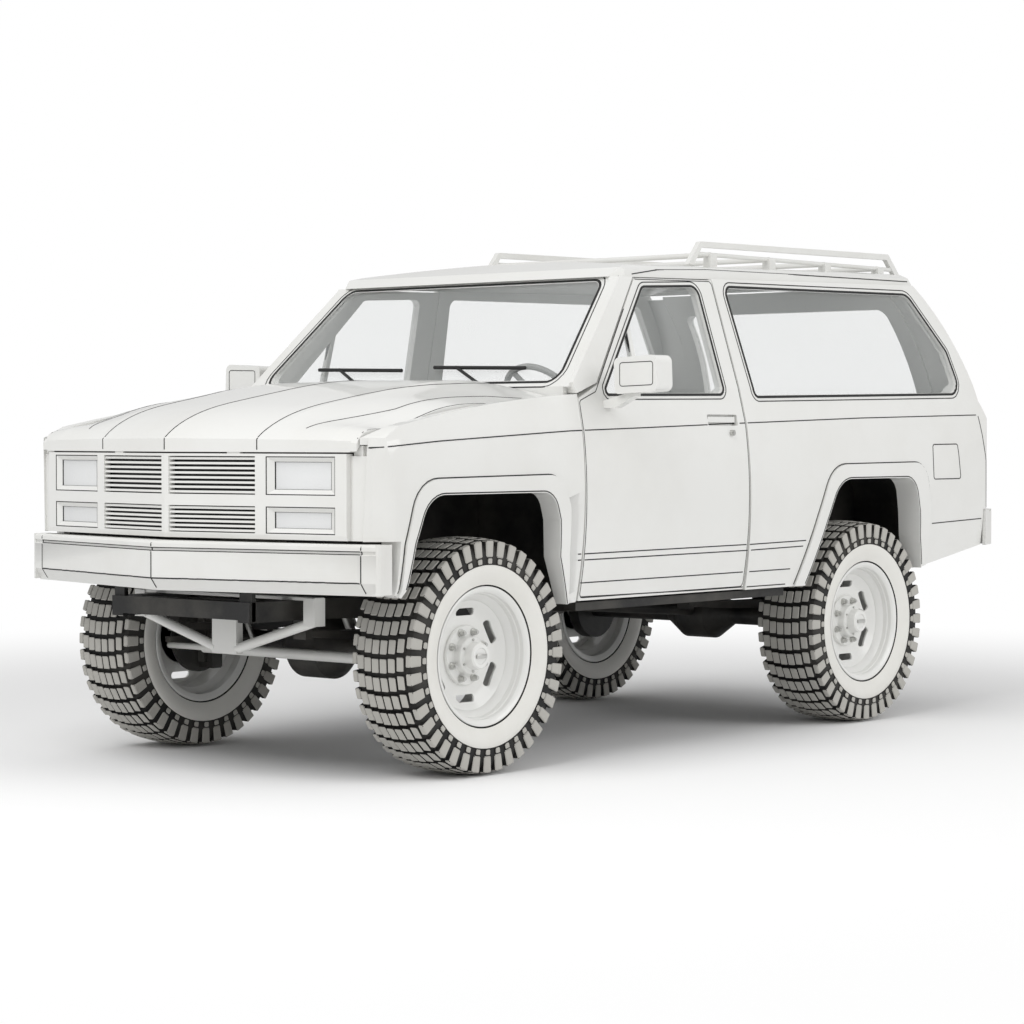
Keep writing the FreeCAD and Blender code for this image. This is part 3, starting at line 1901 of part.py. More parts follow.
# Check and export
doc.recompute()
faults = []
for item in doc.Objects:
    if "Invalid" in item.State or "Error" in item.State:
        faults.append("%s: %s" % (item.Label, item.State))
for name, item in nodes.items():
    if item.Shape.isNull() or not item.Shape.isValid() or item.Shape.Volume <= 0:
        faults.append("%s has no sound solid" % name)
if faults:
    raise RuntimeError("; ".join(faults[:20]))
for name, item in nodes.items():
    item.Shape.exportStep(os.path.join("parts", name + ".step"))
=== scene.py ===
import json
import math

import bmesh
import bpy
from mathutils import Matrix, Vector
from mathutils.bvhtree import BVHTree

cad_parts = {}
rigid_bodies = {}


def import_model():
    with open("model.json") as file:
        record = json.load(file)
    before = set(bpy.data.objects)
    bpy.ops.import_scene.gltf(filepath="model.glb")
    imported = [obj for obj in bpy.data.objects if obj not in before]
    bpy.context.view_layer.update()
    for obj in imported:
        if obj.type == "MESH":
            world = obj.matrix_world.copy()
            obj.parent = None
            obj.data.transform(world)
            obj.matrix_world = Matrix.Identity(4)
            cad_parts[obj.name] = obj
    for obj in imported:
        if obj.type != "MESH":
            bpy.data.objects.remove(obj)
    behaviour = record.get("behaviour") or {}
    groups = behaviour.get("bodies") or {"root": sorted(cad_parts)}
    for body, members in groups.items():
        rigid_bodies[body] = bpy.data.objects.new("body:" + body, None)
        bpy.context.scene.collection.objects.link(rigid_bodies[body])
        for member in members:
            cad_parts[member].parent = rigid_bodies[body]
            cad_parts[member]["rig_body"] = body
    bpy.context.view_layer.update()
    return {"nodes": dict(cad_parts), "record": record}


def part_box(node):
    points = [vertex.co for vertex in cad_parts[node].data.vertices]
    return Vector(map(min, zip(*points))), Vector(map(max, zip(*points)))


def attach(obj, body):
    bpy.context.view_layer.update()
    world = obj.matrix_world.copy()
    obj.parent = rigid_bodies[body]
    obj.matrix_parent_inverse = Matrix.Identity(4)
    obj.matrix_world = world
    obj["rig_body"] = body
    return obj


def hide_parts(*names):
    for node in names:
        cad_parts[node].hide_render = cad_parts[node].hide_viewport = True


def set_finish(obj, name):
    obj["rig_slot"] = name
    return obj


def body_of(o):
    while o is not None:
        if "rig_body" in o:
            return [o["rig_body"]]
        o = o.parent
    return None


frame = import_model()
nodes = frame["nodes"]
sides = (("left", 1), ("right", -1))
wheel_places = ("front_left", "front_right", "rear_left", "rear_right")

# Sockets of a colour mix node: it has others of the same names, so these are picked by number
mix_share = 0
mix_first = 6
mix_second = 7
mix_result = 2


# Materials
def colour(text):
    """A linear colour with alpha from an sRGB hex value such as #e8e8e4."""
    channels = [int(text[start : start + 2], 16) / 255 for start in (1, 3, 5)]
    return [c / 12.92 if c <= 0.04045 else ((c + 0.055) / 1.055) ** 2.4 for c in channels] + [1]


def add(material, kind, settings=None, links=None):
    """Adds a node with its settings and the sockets linked to its inputs."""
    shader = material.node_tree.nodes.new(kind)
    for name, value in (settings or {}).items():
        if name in shader.inputs:
            shader.inputs[name].default_value = value
        else:
            setattr(shader, name, value)
    for name, socket in (links or {}).items():
        material.node_tree.links.new(socket, shader.inputs[name])
    return shader


def grain_normal(material, place, grain_mm, depth):
    """Bumps of a size in millimetres and a height in metres."""
    grain = add(
        material,
        "ShaderNodeTexNoise",
        {"Scale": 1000 / grain_mm, "Detail": 3.0},
        {"Vector": place},
    )
    bump = add(
        material,
        "ShaderNodeBump",
        {"Strength": 1.0, "Distance": depth},
        {"Height": grain.outputs["Fac"]},
    )
    return bump.outputs["Normal"]


def dusted(material, place, tint, dust):
    """The tint under clouds of pale road dust, which cover at most the share given by dust."""
    cloud = add(
        material,
        "ShaderNodeTexNoise",
        {"Scale": 2.6, "Detail": 6.0, "Roughness": 0.62},
        {"Vector": place},
    )
    share = add(
        material,
        "ShaderNodeMapRange",
        {"From Min": 0.42, "From Max": 0.72, "To Max": dust},
        {"Value": cloud.outputs["Fac"]},
    )
    mixed = add(
        material,
        "ShaderNodeMix",
        {"data_type": "RGBA"},
        {mix_share: share.outputs["Result"]},
    )
    mixed.inputs[mix_first].default_value = colour(tint)
    mixed.inputs[mix_second].default_value = colour("#b9b3a6")
    return mixed.outputs[mix_result]


def finish(name, tint, roughness, metallic=0.0, grain_mm=0.0, depth=0.0, dust=0.0, extra=None):
    """A surface with its tint, grain, dust and any extra settings of its shader."""
    material = bpy.data.materials.new(name)
    material.use_nodes = True
    material.node_tree.nodes.clear()
    settings = {"Base Color": colour(tint), "Roughness": roughness, "Metallic": metallic}
    settings.update(extra or {})
    place = add(material, "ShaderNodeTexCoord").outputs["Object"]
    links = {}
    if grain_mm:
        links["Normal"] = grain_normal(material, place, grain_mm, depth)
    if dust:
        links["Base Color"] = dusted(material, place, tint, dust)
    shader = add(material, "ShaderNodeBsdfPrincipled", settings, links)
    add(material, "ShaderNodeOutputMaterial", links={"Surface": shader.outputs["BSDF"]})
    return material


# Sprayed two-pack enamel, flatted and polished: even white with a clear wet reflection
white_enamel = finish(
    "white_enamel",
    "#e5e5e2",
    0.32,
    grain_mm=8,
    depth=0.000015,
    dust=0.10,
    extra={"Coat Weight": 0.6, "Coat Roughness": 0.06},
)
# Powder coat on steel: white, a little softer in its reflection than the enamel
white_powder_coat = finish(
    "white_powder_coat", "#e2e2df", 0.42, grain_mm=3, depth=0.00004, dust=0.16
)
# Wheel enamel baked on pressed steel
baked_wheel_enamel = finish(
    "baked_wheel_enamel", "#e6e6e3", 0.3, extra={"Coat Weight": 0.4, "Coat Roughness": 0.1}
)
# Carbon-black tyre rubber, moulded: deep grey, dull, faintly pebbled
moulded_tyre_rubber = finish(
    "moulded_tyre_rubber", "#1b1b1b", 0.78, grain_mm=4, depth=0.0003, dust=0.10
)
# The same rubber where the tread has run on dry ground: pale dust, and a painted highlight, on the
# block tops and the shoulder lugs' outer faces
dusty_tread_rubber = finish("dusty_tread_rubber", "#b4b2ac", 0.9, grain_mm=9, depth=0.0016)
# White sidewall rubber, moulded and buffed
buffed_white_rubber = finish(
    "buffed_white_rubber", "#e4e3de", 0.55, grain_mm=5, depth=0.0001, dust=0.18
)
# Extruded EPDM seal: black, matt. The same black paints the shade lines along creases, edges and
# grooves, and the gap shade round the front lamps
extruded_seal_rubber = finish("extruded_seal_rubber", "#141414", 0.6)
# Chassis black brushed on steel: satin, slightly uneven
brushed_chassis_black = finish(
    "brushed_chassis_black", "#131313", 0.55, grain_mm=14, depth=0.0004, dust=0.12
)
# Sand-cast iron, as left by the mould: grey with a coarse grain
sand_cast_iron = finish(
    "sand_cast_iron", "#4d4d4b", 0.75, 0.6, grain_mm=5, depth=0.0012, dust=0.3
)
# Aluminised steel tube, drawn: dull silver
aluminised_steel = finish(
    "aluminised_steel", "#a9a9a6", 0.4, 1.0, grain_mm=20, depth=0.0001, dust=0.2
)
# Bright zinc on turned steel fasteners
bright_zinc = finish("bright_zinc", "#c9c9c6", 0.3, 1.0)
# Moulded ABS of the dashboard: grey, fine leather grain
moulded_cabin_abs = finish("moulded_cabin_abs", "#8c8c8a", 0.6, grain_mm=6, depth=0.0003)
# Moulded black acetal and polypropylene trim. The same black paints the sheet of shade behind the
# grille
moulded_black_trim = finish("moulded_black_trim", "#161616", 0.5)
# Woven seat cloth: grey, no shine
woven_seat_cloth = finish(
    "woven_seat_cloth", "#a3a29f", 0.95, grain_mm=7, depth=0.0015, extra={"Sheen Weight": 0.3}
)
# Moulded red acrylic of the tail lamps
moulded_red_acrylic = finish("moulded_red_acrylic", "#a11216", 0.15, extra={"Coat Weight": 0.5})
# Float glass, toughened: clear and thin, so that daylight still falls into the cab
float_glass = finish("float_glass", "#eef3f2", 0.02, extra={"Alpha": 0.11, "IOR": 1.5})
# Pressed lamp glass: clear, stippled on the inside
pressed_lamp_glass = finish(
    "pressed_lamp_glass",
    "#fcfdfd",
    0.08,
    grain_mm=9,
    depth=0.0012,
    extra={"Alpha": 0.72, "IOR": 1.5},
)
# Lacquered reflector behind a lamp glass: satin bright
lacquered_reflector = finish("lacquered_reflector", "#f2f2f0", 0.3, 0.25)

slot_finish = {
    "body_paint": white_enamel,
    "bumper_paint": white_powder_coat,
    "wheel_paint": baked_wheel_enamel,
    "tyre_rubber": moulded_tyre_rubber,
    "window_glass": float_glass,
    "lamp_glass": pressed_lamp_glass,
    "tail_lamp_plastic": moulded_red_acrylic,
    "chassis_paint": brushed_chassis_black,
    "cast_metal": sand_cast_iron,
    "exhaust_steel": aluminised_steel,
    "cabin_plastic": moulded_cabin_abs,
    "trim_plastic": moulded_black_trim,
    "seat_fabric": woven_seat_cloth,
}
for part in frame["record"]["subparts"]:
    node = nodes[part["node"]]
    node.data.materials.clear()
    node.data.materials.append(slot_finish[part["material_slot"]])
    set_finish(node, part["material_slot"])


# Shaping
def block(bm, low, high, bevel, segments=1):
    """A box between two corners, with its edges bevelled."""
    low, high = Vector(low), Vector(high)
    size = high - low
    shape = Matrix.Translation((low + high) / 2) @ Matrix.Diagonal((*size, 1))
    made = bmesh.ops.create_cube(bm, size=1, matrix=shape)
    bmesh.ops.bevel(
        bm,
        geom=list(dict.fromkeys(edge for vert in made["verts"] for edge in vert.link_edges)),
        offset=bevel,
        segments=segments,
        profile=0.5,
        affect="EDGES",
        material=-1,
        clamp_overlap=True,
    )


def rod(bm, start, end, radius, faces_round, end_radius=None):
    """A round bar from one point to another."""
    start, end = Vector(start), Vector(end)
    run = end - start
    turn = run.to_track_quat("Z", "Y").to_matrix().to_4x4()
    bmesh.ops.create_cone(
        bm,
        cap_ends=True,
        segments=faces_round,
        radius1=radius,
        radius2=radius if end_radius is None else end_radius,
        depth=run.length,
        matrix=Matrix.Translation((start + end) / 2) @ turn,
    )


def join(bm, one, other):
    """Faces between two closed loops with as many corners each."""
    for index in range(len(one)):
        after = (index + 1) % len(one)
        bm.faces.new((one[index], one[after], other[after], other[index]))


def spun(bm, points, steps, closed=True):
    """A ring: points (across, radius) joined in turn and spun about the Y axis."""
    verts = [bm.verts.new((0, across, radius)) for across, radius in points]
    edges = [bm.edges.new(pair) for pair in zip(verts, verts[1:])]
    if closed:
        edges.append(bm.edges.new((verts[-1], verts[0])))
    bmesh.ops.spin(
        bm,
        geom=verts + edges,
        cent=(0, 0, 0),
        axis=(0, 1, 0),
        angle=2 * math.pi,
        steps=steps,
        use_merge=True,
    )


def repeated(bm, count):
    """Copies the whole mesh about the Y axis, to stand count times in a full turn."""
    bmesh.ops.spin(
        bm,
        geom=bm.verts[:] + bm.edges[:] + bm.faces[:],
        cent=(0, 0, 0),
        axis=(0, 1, 0),
        angle=2 * math.pi * (count - 1) / count,
        steps=count - 1,
        use_duplicate=True,
    )


def face_out(bm):
    """Turns the faces of closed shapes outward."""
    bmesh.ops.recalc_face_normals(bm, faces=bm.faces)


def merge(bm, other):
    """Moves all of another bmesh into this one."""
    mesh = bpy.data.meshes.new("merged")
    other.to_mesh(mesh)
    other.free()
    bm.from_mesh(mesh)
    bpy.data.meshes.remove(mesh)


def shade(mesh, sharp_angle):
    """Smooth shading, but for edges sharper than an angle in degrees."""
    mesh.polygons.foreach_set("use_smooth", [True] * len(mesh.polygons))
    mesh.set_sharp_from_angle(angle=math.radians(sharp_angle))


def new_object(name, bm):
    """An object at the origin, with its place in its mesh."""
    mesh = bpy.data.meshes.new(name)
    bm.to_mesh(mesh)
    bm.free()
    made = bpy.data.objects.new(name, mesh)
    bpy.context.scene.collection.objects.link(made)
    return made


def piece(name, bm, materials, body, slot, sharp_angle=30):
    """A finished piece that rides on a body. Its shading is flat where sharp_angle is 0."""
    made = new_object(name, bm)
    for material in materials:
        made.data.materials.append(material)
    if sharp_angle:
        shade(made.data, sharp_angle)
    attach(made, body)
    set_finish(made, slot)
    return made


def middle(name):
    """The middle of a node's box."""
    low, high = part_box(name)
    return (low + high) / 2


def on_side(sign, near, far):
    """Two distances from the middle plane as the lower and the higher y on one side."""
    return sorted((sign * near, sign * far))


# Tyres: carcass, white bands and rows of tread blocks
tyre_low, tyre_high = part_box("tyre_front_left")
tyre_radius = (tyre_high.z - tyre_low.z) / 2
tyre_half = (tyre_high.y - tyre_low.y) / 2
tread_base = tyre_radius - 0.024
crown_half = tyre_half - 0.034
bead_radius = 0.2545
row_count = 40
row_length = 2 * math.pi * tyre_radius / row_count - 0.019
column_count = 6
column_width = 2 * crown_half / column_count
sipe = 0.006
band_inner = 0.283
band_outer = 0.361
tyre_side = [
    (0.1145, bead_radius),
    (0.1165, 0.276),
    (0.124, 0.281),
    (0.134, band_inner),
    (0.148, 0.312),
    (0.1535, 0.338),
    (0.1535, band_outer - 0.004),
    (0.1515, band_outer),
    (0.1475, band_outer + 0.004),
    (0.149, 0.372),
    (0.147, 0.410),
    (0.138, 0.436),
    (0.120, tread_base - 0.002),
    (0.060, tread_base),
]
tyre_lining = [(0.110, 0.42), (0.122, 0.33), (0.100, bead_radius)]


def add_tread(bm):
    """One row of blocks drawn flat, wrapped round the tyre and repeated."""
    row = bmesh.new()
    half = row_length / 2
    for column in range(column_count):
        across = -crown_half + column_width * (column + 0.5)
        lead = 0.016 * (1 - (across / crown_half) ** 2)
        drop = 0.010 * (across / crown_half) ** 2
        reach = (column_width - sipe) / 2
        block(
            row,
            (lead - half, across - reach, tread_base - 0.012),
            (lead + half, across + reach, tyre_radius - 0.0006 - drop),
            0.0025,
        )
    for sign in (1, -1):
        low, high = on_side(sign, crown_half + sipe / 2, tyre_half - 0.004)
        block(
            row,
            (-half - 0.004, low, tyre_radius - 0.078),
            (half - 0.012, high, tyre_radius - 0.013),
            0.004,
        )
        low, high = on_side(sign, tyre_half - 0.030, tyre_half - 0.0015)
        block(
            row,
            (-half + 0.004, low, tyre_radius - 0.104),
            (half - 0.020, high, tyre_radius - 0.083),
            0.003,
        )
    row.normal_update()
    # Block tops and the shoulder lugs' outer faces take the third material: pale dust and a painted
    # highlight
    for face in row.faces:
        centre = face.calc_center_median()
        on_top = face.normal.z > 0.7 and centre.z > tyre_radius - 0.03
        on_wall = abs(face.normal.y) > 0.7 and abs(centre.y) > tyre_half - 0.02
        face.material_index = 2 if on_top or on_wall else 0
    for vert in row.verts:
        angle = vert.co.x / tyre_radius
        height = vert.co.z
        vert.co.x = height * math.sin(angle)
        vert.co.z = height * math.cos(angle)
    repeated(row, row_count)
    merge(bm, row)


def make_tyre(place):
    """A tyre with a white band, and with pale dust and a painted highlight on the worn faces of its
    blocks.
    """
    bm = bmesh.new()
    outer = tyre_side + [(-across, radius) for across, radius in reversed(tyre_side)]
    inner = [(-across, radius) for across, radius in reversed(tyre_lining)] + tyre_lining
    spun(bm, outer + inner, 120)
    face_out(bm)
    for face in bm.faces:
        centre = face.calc_center_median()
        radius = math.hypot(centre.x, centre.z)
        if band_inner < radius < band_outer and abs(centre.y) > 0.13:
            face.material_index = 1
    add_tread(bm)
    bmesh.ops.translate(bm, verts=bm.verts, vec=middle("tyre_" + place))
    made = piece(
        "tyre_detail_" + place,
        bm,
        [moulded_tyre_rubber, buffed_white_rubber, dusty_tread_rubber],
        "wheel_" + place,
        "tyre_rubber",
    )
    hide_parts("tyre_" + place)


for place in wheel_places:
    make_tyre(place)


# Wheels: pressed steel, with a slotted disc, wheel nuts and a free-wheeling hub
slot_count = 6
slot_circle = 0.176
nut_count = 8
nut_circle = 0.098
hub_screw_count = 6
hub_screw_circle = 0.063
rim_section = [
    (0.1325, 0.268),
    (0.1335, 0.2725),
    (0.1315, 0.2765),
    (0.127, 0.2775),
    (0.119, 0.2755),
    (0.1152, 0.262),
    (0.1152, 0.2542),
    (0.072, 0.2542),
    (0.052, 0.228),
    (-0.060, 0.228),
    (-0.080, 0.2542),
    (-0.1152, 0.2542),
    (-0.1152, 0.262),
    (-0.119, 0.2755),
    (-0.127, 0.2775),
    (-0.1315, 0.2765),
    (-0.1335, 0.2725),
    (-0.1325, 0.268),
    (-0.122, 0.247),
    (-0.084, 0.247),
    (-0.062, 0.220),
    (0.030, 0.220),
    (0.036, 0.205),
    (0.020, 0.185),
    (0.014, 0.160),
    (0.014, 0.060),
    (0.022, 0.060),
    (0.022, 0.158),
    (0.028, 0.183),
    (0.046, 0.206),
    (0.052, 0.218),
    (0.060, 0.221),
    (0.080, 0.243),
    (0.098, 0.2465),
    (0.102, 0.250),
    (0.118, 0.2515),
    (0.124, 0.256),
]
hub_section = [
    (-0.02, 0.0155),
    (-0.02, 0.062),
    (0.014, 0.062),
    (0.014, 0.118),
    (0.030, 0.120),
    (0.036, 0.116),
    (0.036, 0.084),
    (0.040, 0.080),
    (0.066, 0.074),
    (0.070, 0.070),
    (0.070, 0.060),
    (0.074, 0.056),
    (0.108, 0.052),
    (0.114, 0.046),
    (0.114, 0.034),
    (0.110, 0.030),
    (0.110, 0.0),
]


def slot_cutters():
    """The shapes of the slots, each bent along the circle on which they lie."""
    bm = bmesh.new()
    bmesh.ops.create_cube(bm, size=1, matrix=Matrix.Diagonal((0.105, 0.09, 0.030, 1)))
    upright = [edge for edge in bm.edges if abs(edge.verts[0].co.y - edge.verts[1].co.y) > 0.05]
    bmesh.ops.bevel(
        bm,
        geom=upright,
        offset=0.0145,
        segments=6,
        profile=0.5,
        affect="EDGES",
        material=-1,
    )
    for vert in bm.verts:
        vert.co.z += slot_circle - vert.co.x**2 / (2 * slot_circle)
        vert.co.y += 0.03
    repeated(bm, slot_count)
    return new_object("slot_cutters", bm)


def pierce(made, cutters):
    """Cuts one mesh with another and keeps the result as the piece's own mesh."""
    modifier = made.modifiers.new("slots", "BOOLEAN")
    modifier.operation = "DIFFERENCE"
    modifier.solver = "EXACT"
    modifier.object = cutters
    graph = bpy.context.evaluated_depsgraph_get()
    cut_mesh = bpy.data.meshes.new_from_object(made.evaluated_get(graph))
    made.modifiers.clear()
    made.data = cut_mesh
    bpy.data.objects.remove(cutters)


def make_hub():
    """The hub's flange, its round housing and the dial on its end."""
    hub = bmesh.new()
    spun(hub, hub_section, 48, closed=False)
    bmesh.ops.remove_doubles(hub, verts=hub.verts, dist=0.00001)
    face_out(hub)
    return hub


def ring_places(count, radius, across, turned):
    """Places on a circle about the axle, the first turned on by a share of the pitch."""
    places = []
    for index in range(count):
        angle = 2 * math.pi * (index + turned) / count
        places.append(Vector((radius * math.sin(angle), across, radius * math.cos(angle))))
    return places


def make_fasteners():
    """Washers, nuts and stud ends on the disc, screws round the hub and the grip of its dial."""
    bm = bmesh.new()
    for centre in ring_places(nut_count, nut_circle, 0.036, 0.5):
        for start, end, radius, faces_round, end_radius in (
            (-0.004, 0.006, 0.0155, 20, None),
            (0.004, 0.022, 0.0125, 6, 0.0115),
            (0.020, 0.028, 0.007, 12, None),
        ):
            low = centre + Vector((0, start, 0))
            high = centre + Vector((0, end, 0))
            rod(bm, low, high, radius, faces_round, end_radius)
    for centre in ring_places(hub_screw_count, hub_screw_circle, 0.070, 0):
        rod(bm, centre, centre + Vector((0, 0.005, 0)), 0.005, 6)
    block(bm, (-0.030, 0.112, -0.008), (0.030, 0.120, 0.008), 0.003, 2)
    for face in bm.faces:
        face.material_index = 1
    face_out(bm)
    return bm


def make_rim(place):
    """A rim with its slots, hub and fasteners, drawn for the left side and turned for the right."""
    bm = bmesh.new()
    spun(bm, rim_section, 128)
    face_out(bm)
    rim = piece(
        "rim_detail_" + place,
        bm,
        [baked_wheel_enamel, bright_zinc],
        "wheel_" + place,
        "wheel_paint",
    )
    pierce(rim, slot_cutters())
    bm = bmesh.new()
    bm.from_mesh(rim.data)
    merge(bm, make_hub())
    merge(bm, make_fasteners())
    if "right" in place:
        turn = Matrix.Rotation(math.pi, 3, "Z")
        bmesh.ops.rotate(bm, verts=bm.verts, cent=(0, 0, 0), matrix=turn)
    bmesh.ops.translate(bm, verts=bm.verts, vec=middle("tyre_" + place))
    bm.to_mesh(rim.data)
    bm.free()
    shade(rim.data, 28)
    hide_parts("rim_" + place)


for place in wheel_places:
    make_rim(place)


# Body: pieces that take the place of a node keep its form and round its front corner
corner_start = 2.000
panel_front = 2.144
arch_middle = 1.900
fender_toe = 0.760
panel_side = 0.858
body_side = 1.004
fender_slices = 12
fender_slice = 0.0122
bumper_back = 2.060
bumper_run = 0.14
bumper_sweep = 0.080
bracket_top = 0.7348


def reshaped(name, node, cuts, cut_from, place, materials, in_second=None):
    """A copy of a node, cut by planes ahead of a station, then moved by a function of place."""
    source = nodes[node]
    bm = bmesh.new()
    bm.from_mesh(source.data)
    bmesh.ops.remove_doubles(bm, verts=bm.verts, dist=0.00002)
    for point, normal in cuts:
        ahead = [
            face
            for face in bm.faces
            if max(vert.co.x for vert in face.verts) > cut_from + 0.0002
        ]
        edges = list(dict.fromkeys(edge for face in ahead for edge in face.edges))
        verts = list(dict.fromkeys(vert for face in ahead for vert in face.verts))
        bmesh.ops.bisect_plane(
            bm,
            geom=verts + edges + ahead,
            dist=0.00001,
            plane_co=point,
            plane_no=normal,
        )
    if in_second:
        for face in bm.faces:
            face.material_index = 1 if in_second(face.calc_center_median()) else 0
    for vert in bm.verts:
        vert.co = place(vert.co)
    body = body_of(source)[0]
    made = piece(name, bm, materials, body, source["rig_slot"], sharp_angle=12)
    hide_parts(node)
    return made


def round_corner(point):
    """Draws the front of a fender back in a bow, and its toe up behind the bumper."""
    height = point.z
    if point.x > arch_middle and height < fender_toe:
        height = fender_toe - (fender_toe - height) * 0.35
    if point.x < corner_start:
        return Vector((point.x, point.y, height))
    beyond = abs(point.y) - panel_side
    outward = min(1, max(0, beyond / (body_side - panel_side)))
    # How far the node's own front edge lies ahead of the corner's start, and how far the bow's does
    old_reach = panel_front - corner_start + min(0.078, max(0, beyond) * 0.93)
    new_reach = (panel_front - corner_start) * math.sqrt(1 - outward**2) + 0.004
    keep = min(1, new_reach / old_reach)
    return Vector((corner_start + (point.x - corner_start) * keep, point.y, height))


def sweep_bumper(point):
    """Sweeps the bumper's bar back towards its ends and leaves its rear ends in place."""
    share = min(1, max(0, (point.x - bumper_back) / bumper_run))
    sweep = 0.0022 + bumper_sweep * abs(point.y)
    return Vector((point.x - sweep * share, point.y, point.z))


def below_bar(centre):
    """True for the brackets and the underside of the bumper, which are black."""
    return centre.z < bracket_top


skins = {}
for side, sign in sides:
    cuts = [((corner_start, 0, 0), (1, 0, 0))]
    for step in range(1, fender_slices + 1):
        cuts.append(((0, sign * (panel_side + fender_slice * step), 0), (0, 1, 0)))
    skins["fender_" + side] = reshaped(
        "fender_shell_" + side,
        "fender_" + side,
        cuts,
        corner_start - 0.0001,
        round_corner,
        [white_enamel],
    )
skins["front_bumper"] = reshaped(
    "front_bumper_bar",
    "front_bumper",
    [
        ((bumper_back + bumper_run, 0, 0), (1, 0, 0)),
        ((0, 0, bracket_top), (0, 0, 1)),
        ((0, 0, 0), (0, 1, 0)),
    ],
    0,
    sweep_bumper,
    [white_powder_coat, brushed_chassis_black],
    below_bar,
)

# Corner fillers: close the space between nose, fender and hood
for side, sign in sides:
    bm = bmesh.new()
    low, high = on_side(sign, 0.910, 0.946)
    block(bm, (1.960, low, 1.262), (2.118, high, 1.303), 0.004, 2)
    low, high = on_side(sign, 0.864, 0.912)
    block(bm, (1.960, low, 1.256), (2.136, high, 1.3015), 0.002)
    piece("corner_filler_" + side, bm, [white_enamel], "chassis", "body_paint")

# Rear posts: close the body between the tailgate and the quarter panel.
# Rows up the post: height, station of its rear face, inner and outer distance from the middle
post_depth = 0.045
post_rows = [
    (0.995, -2.297, 0.756, 0.925),
    (1.255, -2.297, 0.756, 0.925),
    (1.300, -2.290, 0.756, 0.895),
    (1.440, -2.239, 0.756, 0.895),
    (1.500, -2.203, 0.755, 0.888),
    (1.600, -2.163, 0.741, 0.900),
    (1.700, -2.120, 0.730, 0.884),
    (1.800, -2.063, 0.719, 0.862),
    (1.900, -1.990, 0.708, 0.838),
    (2.000, -1.896, 0.697, 0.815),
    (2.045, -1.848, 0.690, 0.795),
]
for side, sign in sides:
    bm = bmesh.new()
    loops = []
    for height, rear, inner, outer in post_rows:
        front = rear + post_depth
        around = ((rear, inner), (rear, outer), (front, outer), (front, inner))
        loops.append([bm.verts.new((station, sign * across, height)) for station, across in around])
    for low, high in zip(loops, loops[1:]):
        join(bm, low, high)
    bm.faces.new(loops[0])
    bm.faces.new(loops[-1])
    face_out(bm)
    skins["post_" + side] = piece("rear_post_" + side, bm, [white_enamel], "chassis", "body_paint")

# Dark strips laid on the panels: window seals, shut lines at the gaps, and lines of painted shade
# along creases, edges and grooves; every strip follows the skin below it and rides on that panel's
# body
line_width = 0.0062
line_height = 0.0012
shut_width = 0.005
shut_height = 0.0008
seal_height = 0.003
aft = (-1, 0, 0)
forward = (1, 0, 0)
down = (0, 0, -1)
strips = {}


def skin(*covers):
    """A search tree over several objects, and the body behind each of its faces."""
    verts, faces, bodies = [], [], []
    for cover in covers:
        start = len(verts)
        verts.extend(vert.co.copy() for vert in cover.data.vertices)
        for face in cover.data.polygons:
            faces.append([start + index for index in face.vertices])
            bodies.append(body_of(cover)[0])
    return BVHTree.FromPolygons(verts, faces), bodies


def sides_of(corners, index):
    """A corner, and the directions to the one before it and the one after it."""
    corner = Vector(corners[index][:2])
    before = Vector(corners[index - 1][:2]) - corner
    after = Vector(corners[(index + 1) % len(corners)][:2]) - corner
    return corner, before.normalized(), after.normalized()


def rounded(corners):
    """The outline through corners (across, up, radius), each rounded by an arc of that radius."""
    line = []
    for index in range(len(corners)):
        corner, before, after = sides_of(corners, index)
        radius = corners[index][2]
        half = before.angle(after) / 2
        reach = radius / math.tan(half)
        centre = corner + (before + after).normalized() * (radius / math.sin(half))
        first = corner + before * reach - centre
        last = corner + after * reach - centre
        for step in range(7):
            line.append(centre + first.lerp(last, step / 6).normalized() * radius)
    return line


def grown(corners, by):
    """The outline rounded after its sides have moved outward, with its radii grown."""
    middle_point = sum((Vector(corner[:2]) for corner in corners), Vector((0, 0))) / len(corners)
    moved = []
    for index in range(len(corners)):
        corner, before, after = sides_of(corners, index)
        half = before.angle(after) / 2
        away = -(before + after).normalized()
        if away.dot(corner - middle_point) < 0:
            away = -away
        place = corner + away * (by / math.sin(half))
        moved.append((place.x, place.y, max(0.004, corners[index][2] + by)))
    return rounded(moved)


def walked(line, step, closed):
    """Places along a line, no further apart than a step."""
    line = [Vector(point) for point in line]
    if closed:
        line.append(line[0])
    places = []
    for start, end in zip(line, line[1:]):
        count = max(1, math.ceil((end - start).length / step))
        places.extend(start.lerp(end, index / count) for index in range(count))
    return places + [line[-1]]


def on_skin(cover, places, aim, step):
    """Runs of (place, normal) on the skin, parted where the body changes or the skin breaks off."""
    tree, bodies = cover
    runs = []
    for point in places:
        if aim is None:
            place, normal, face, _ = tree.find_nearest(point)
        else:
            place, normal, face, _ = tree.ray_cast(point - Vector(aim) * 3, Vector(aim))
        if place is None:
            runs.append((None, []))
            continue
        if aim is not None and normal.dot(Vector(aim)) >= 0:
            normal = -normal
        body = bodies[face]
        if not runs or runs[-1][0] != body or (place - runs[-1][1][-1][0]).length > 4 * step:
            runs.append((body, []))
        runs[-1][1].append((place, normal))
    return runs


def add_strip(bm, run, width, height):
    """A low strip along a run, narrower on top, with its foot sunk into the skin."""
    loops = []
    for index, (place, normal) in enumerate(run):
        along = run[min(index + 1, len(run) - 1)][0] - run[max(index - 1, 0)][0]
        side = along.cross(normal).normalized() * width / 2
        foot = place - normal * 0.001
        top = place + normal * height
        around = (foot + side, top + side * 0.6, top - side * 0.6, foot - side)
        loops.append([bm.verts.new(spot) for spot in around])
    for one, other in zip(loops, loops[1:]):
        join(bm, one, other)
    bm.faces.new(loops[0])
    bm.faces.new(loops[-1])


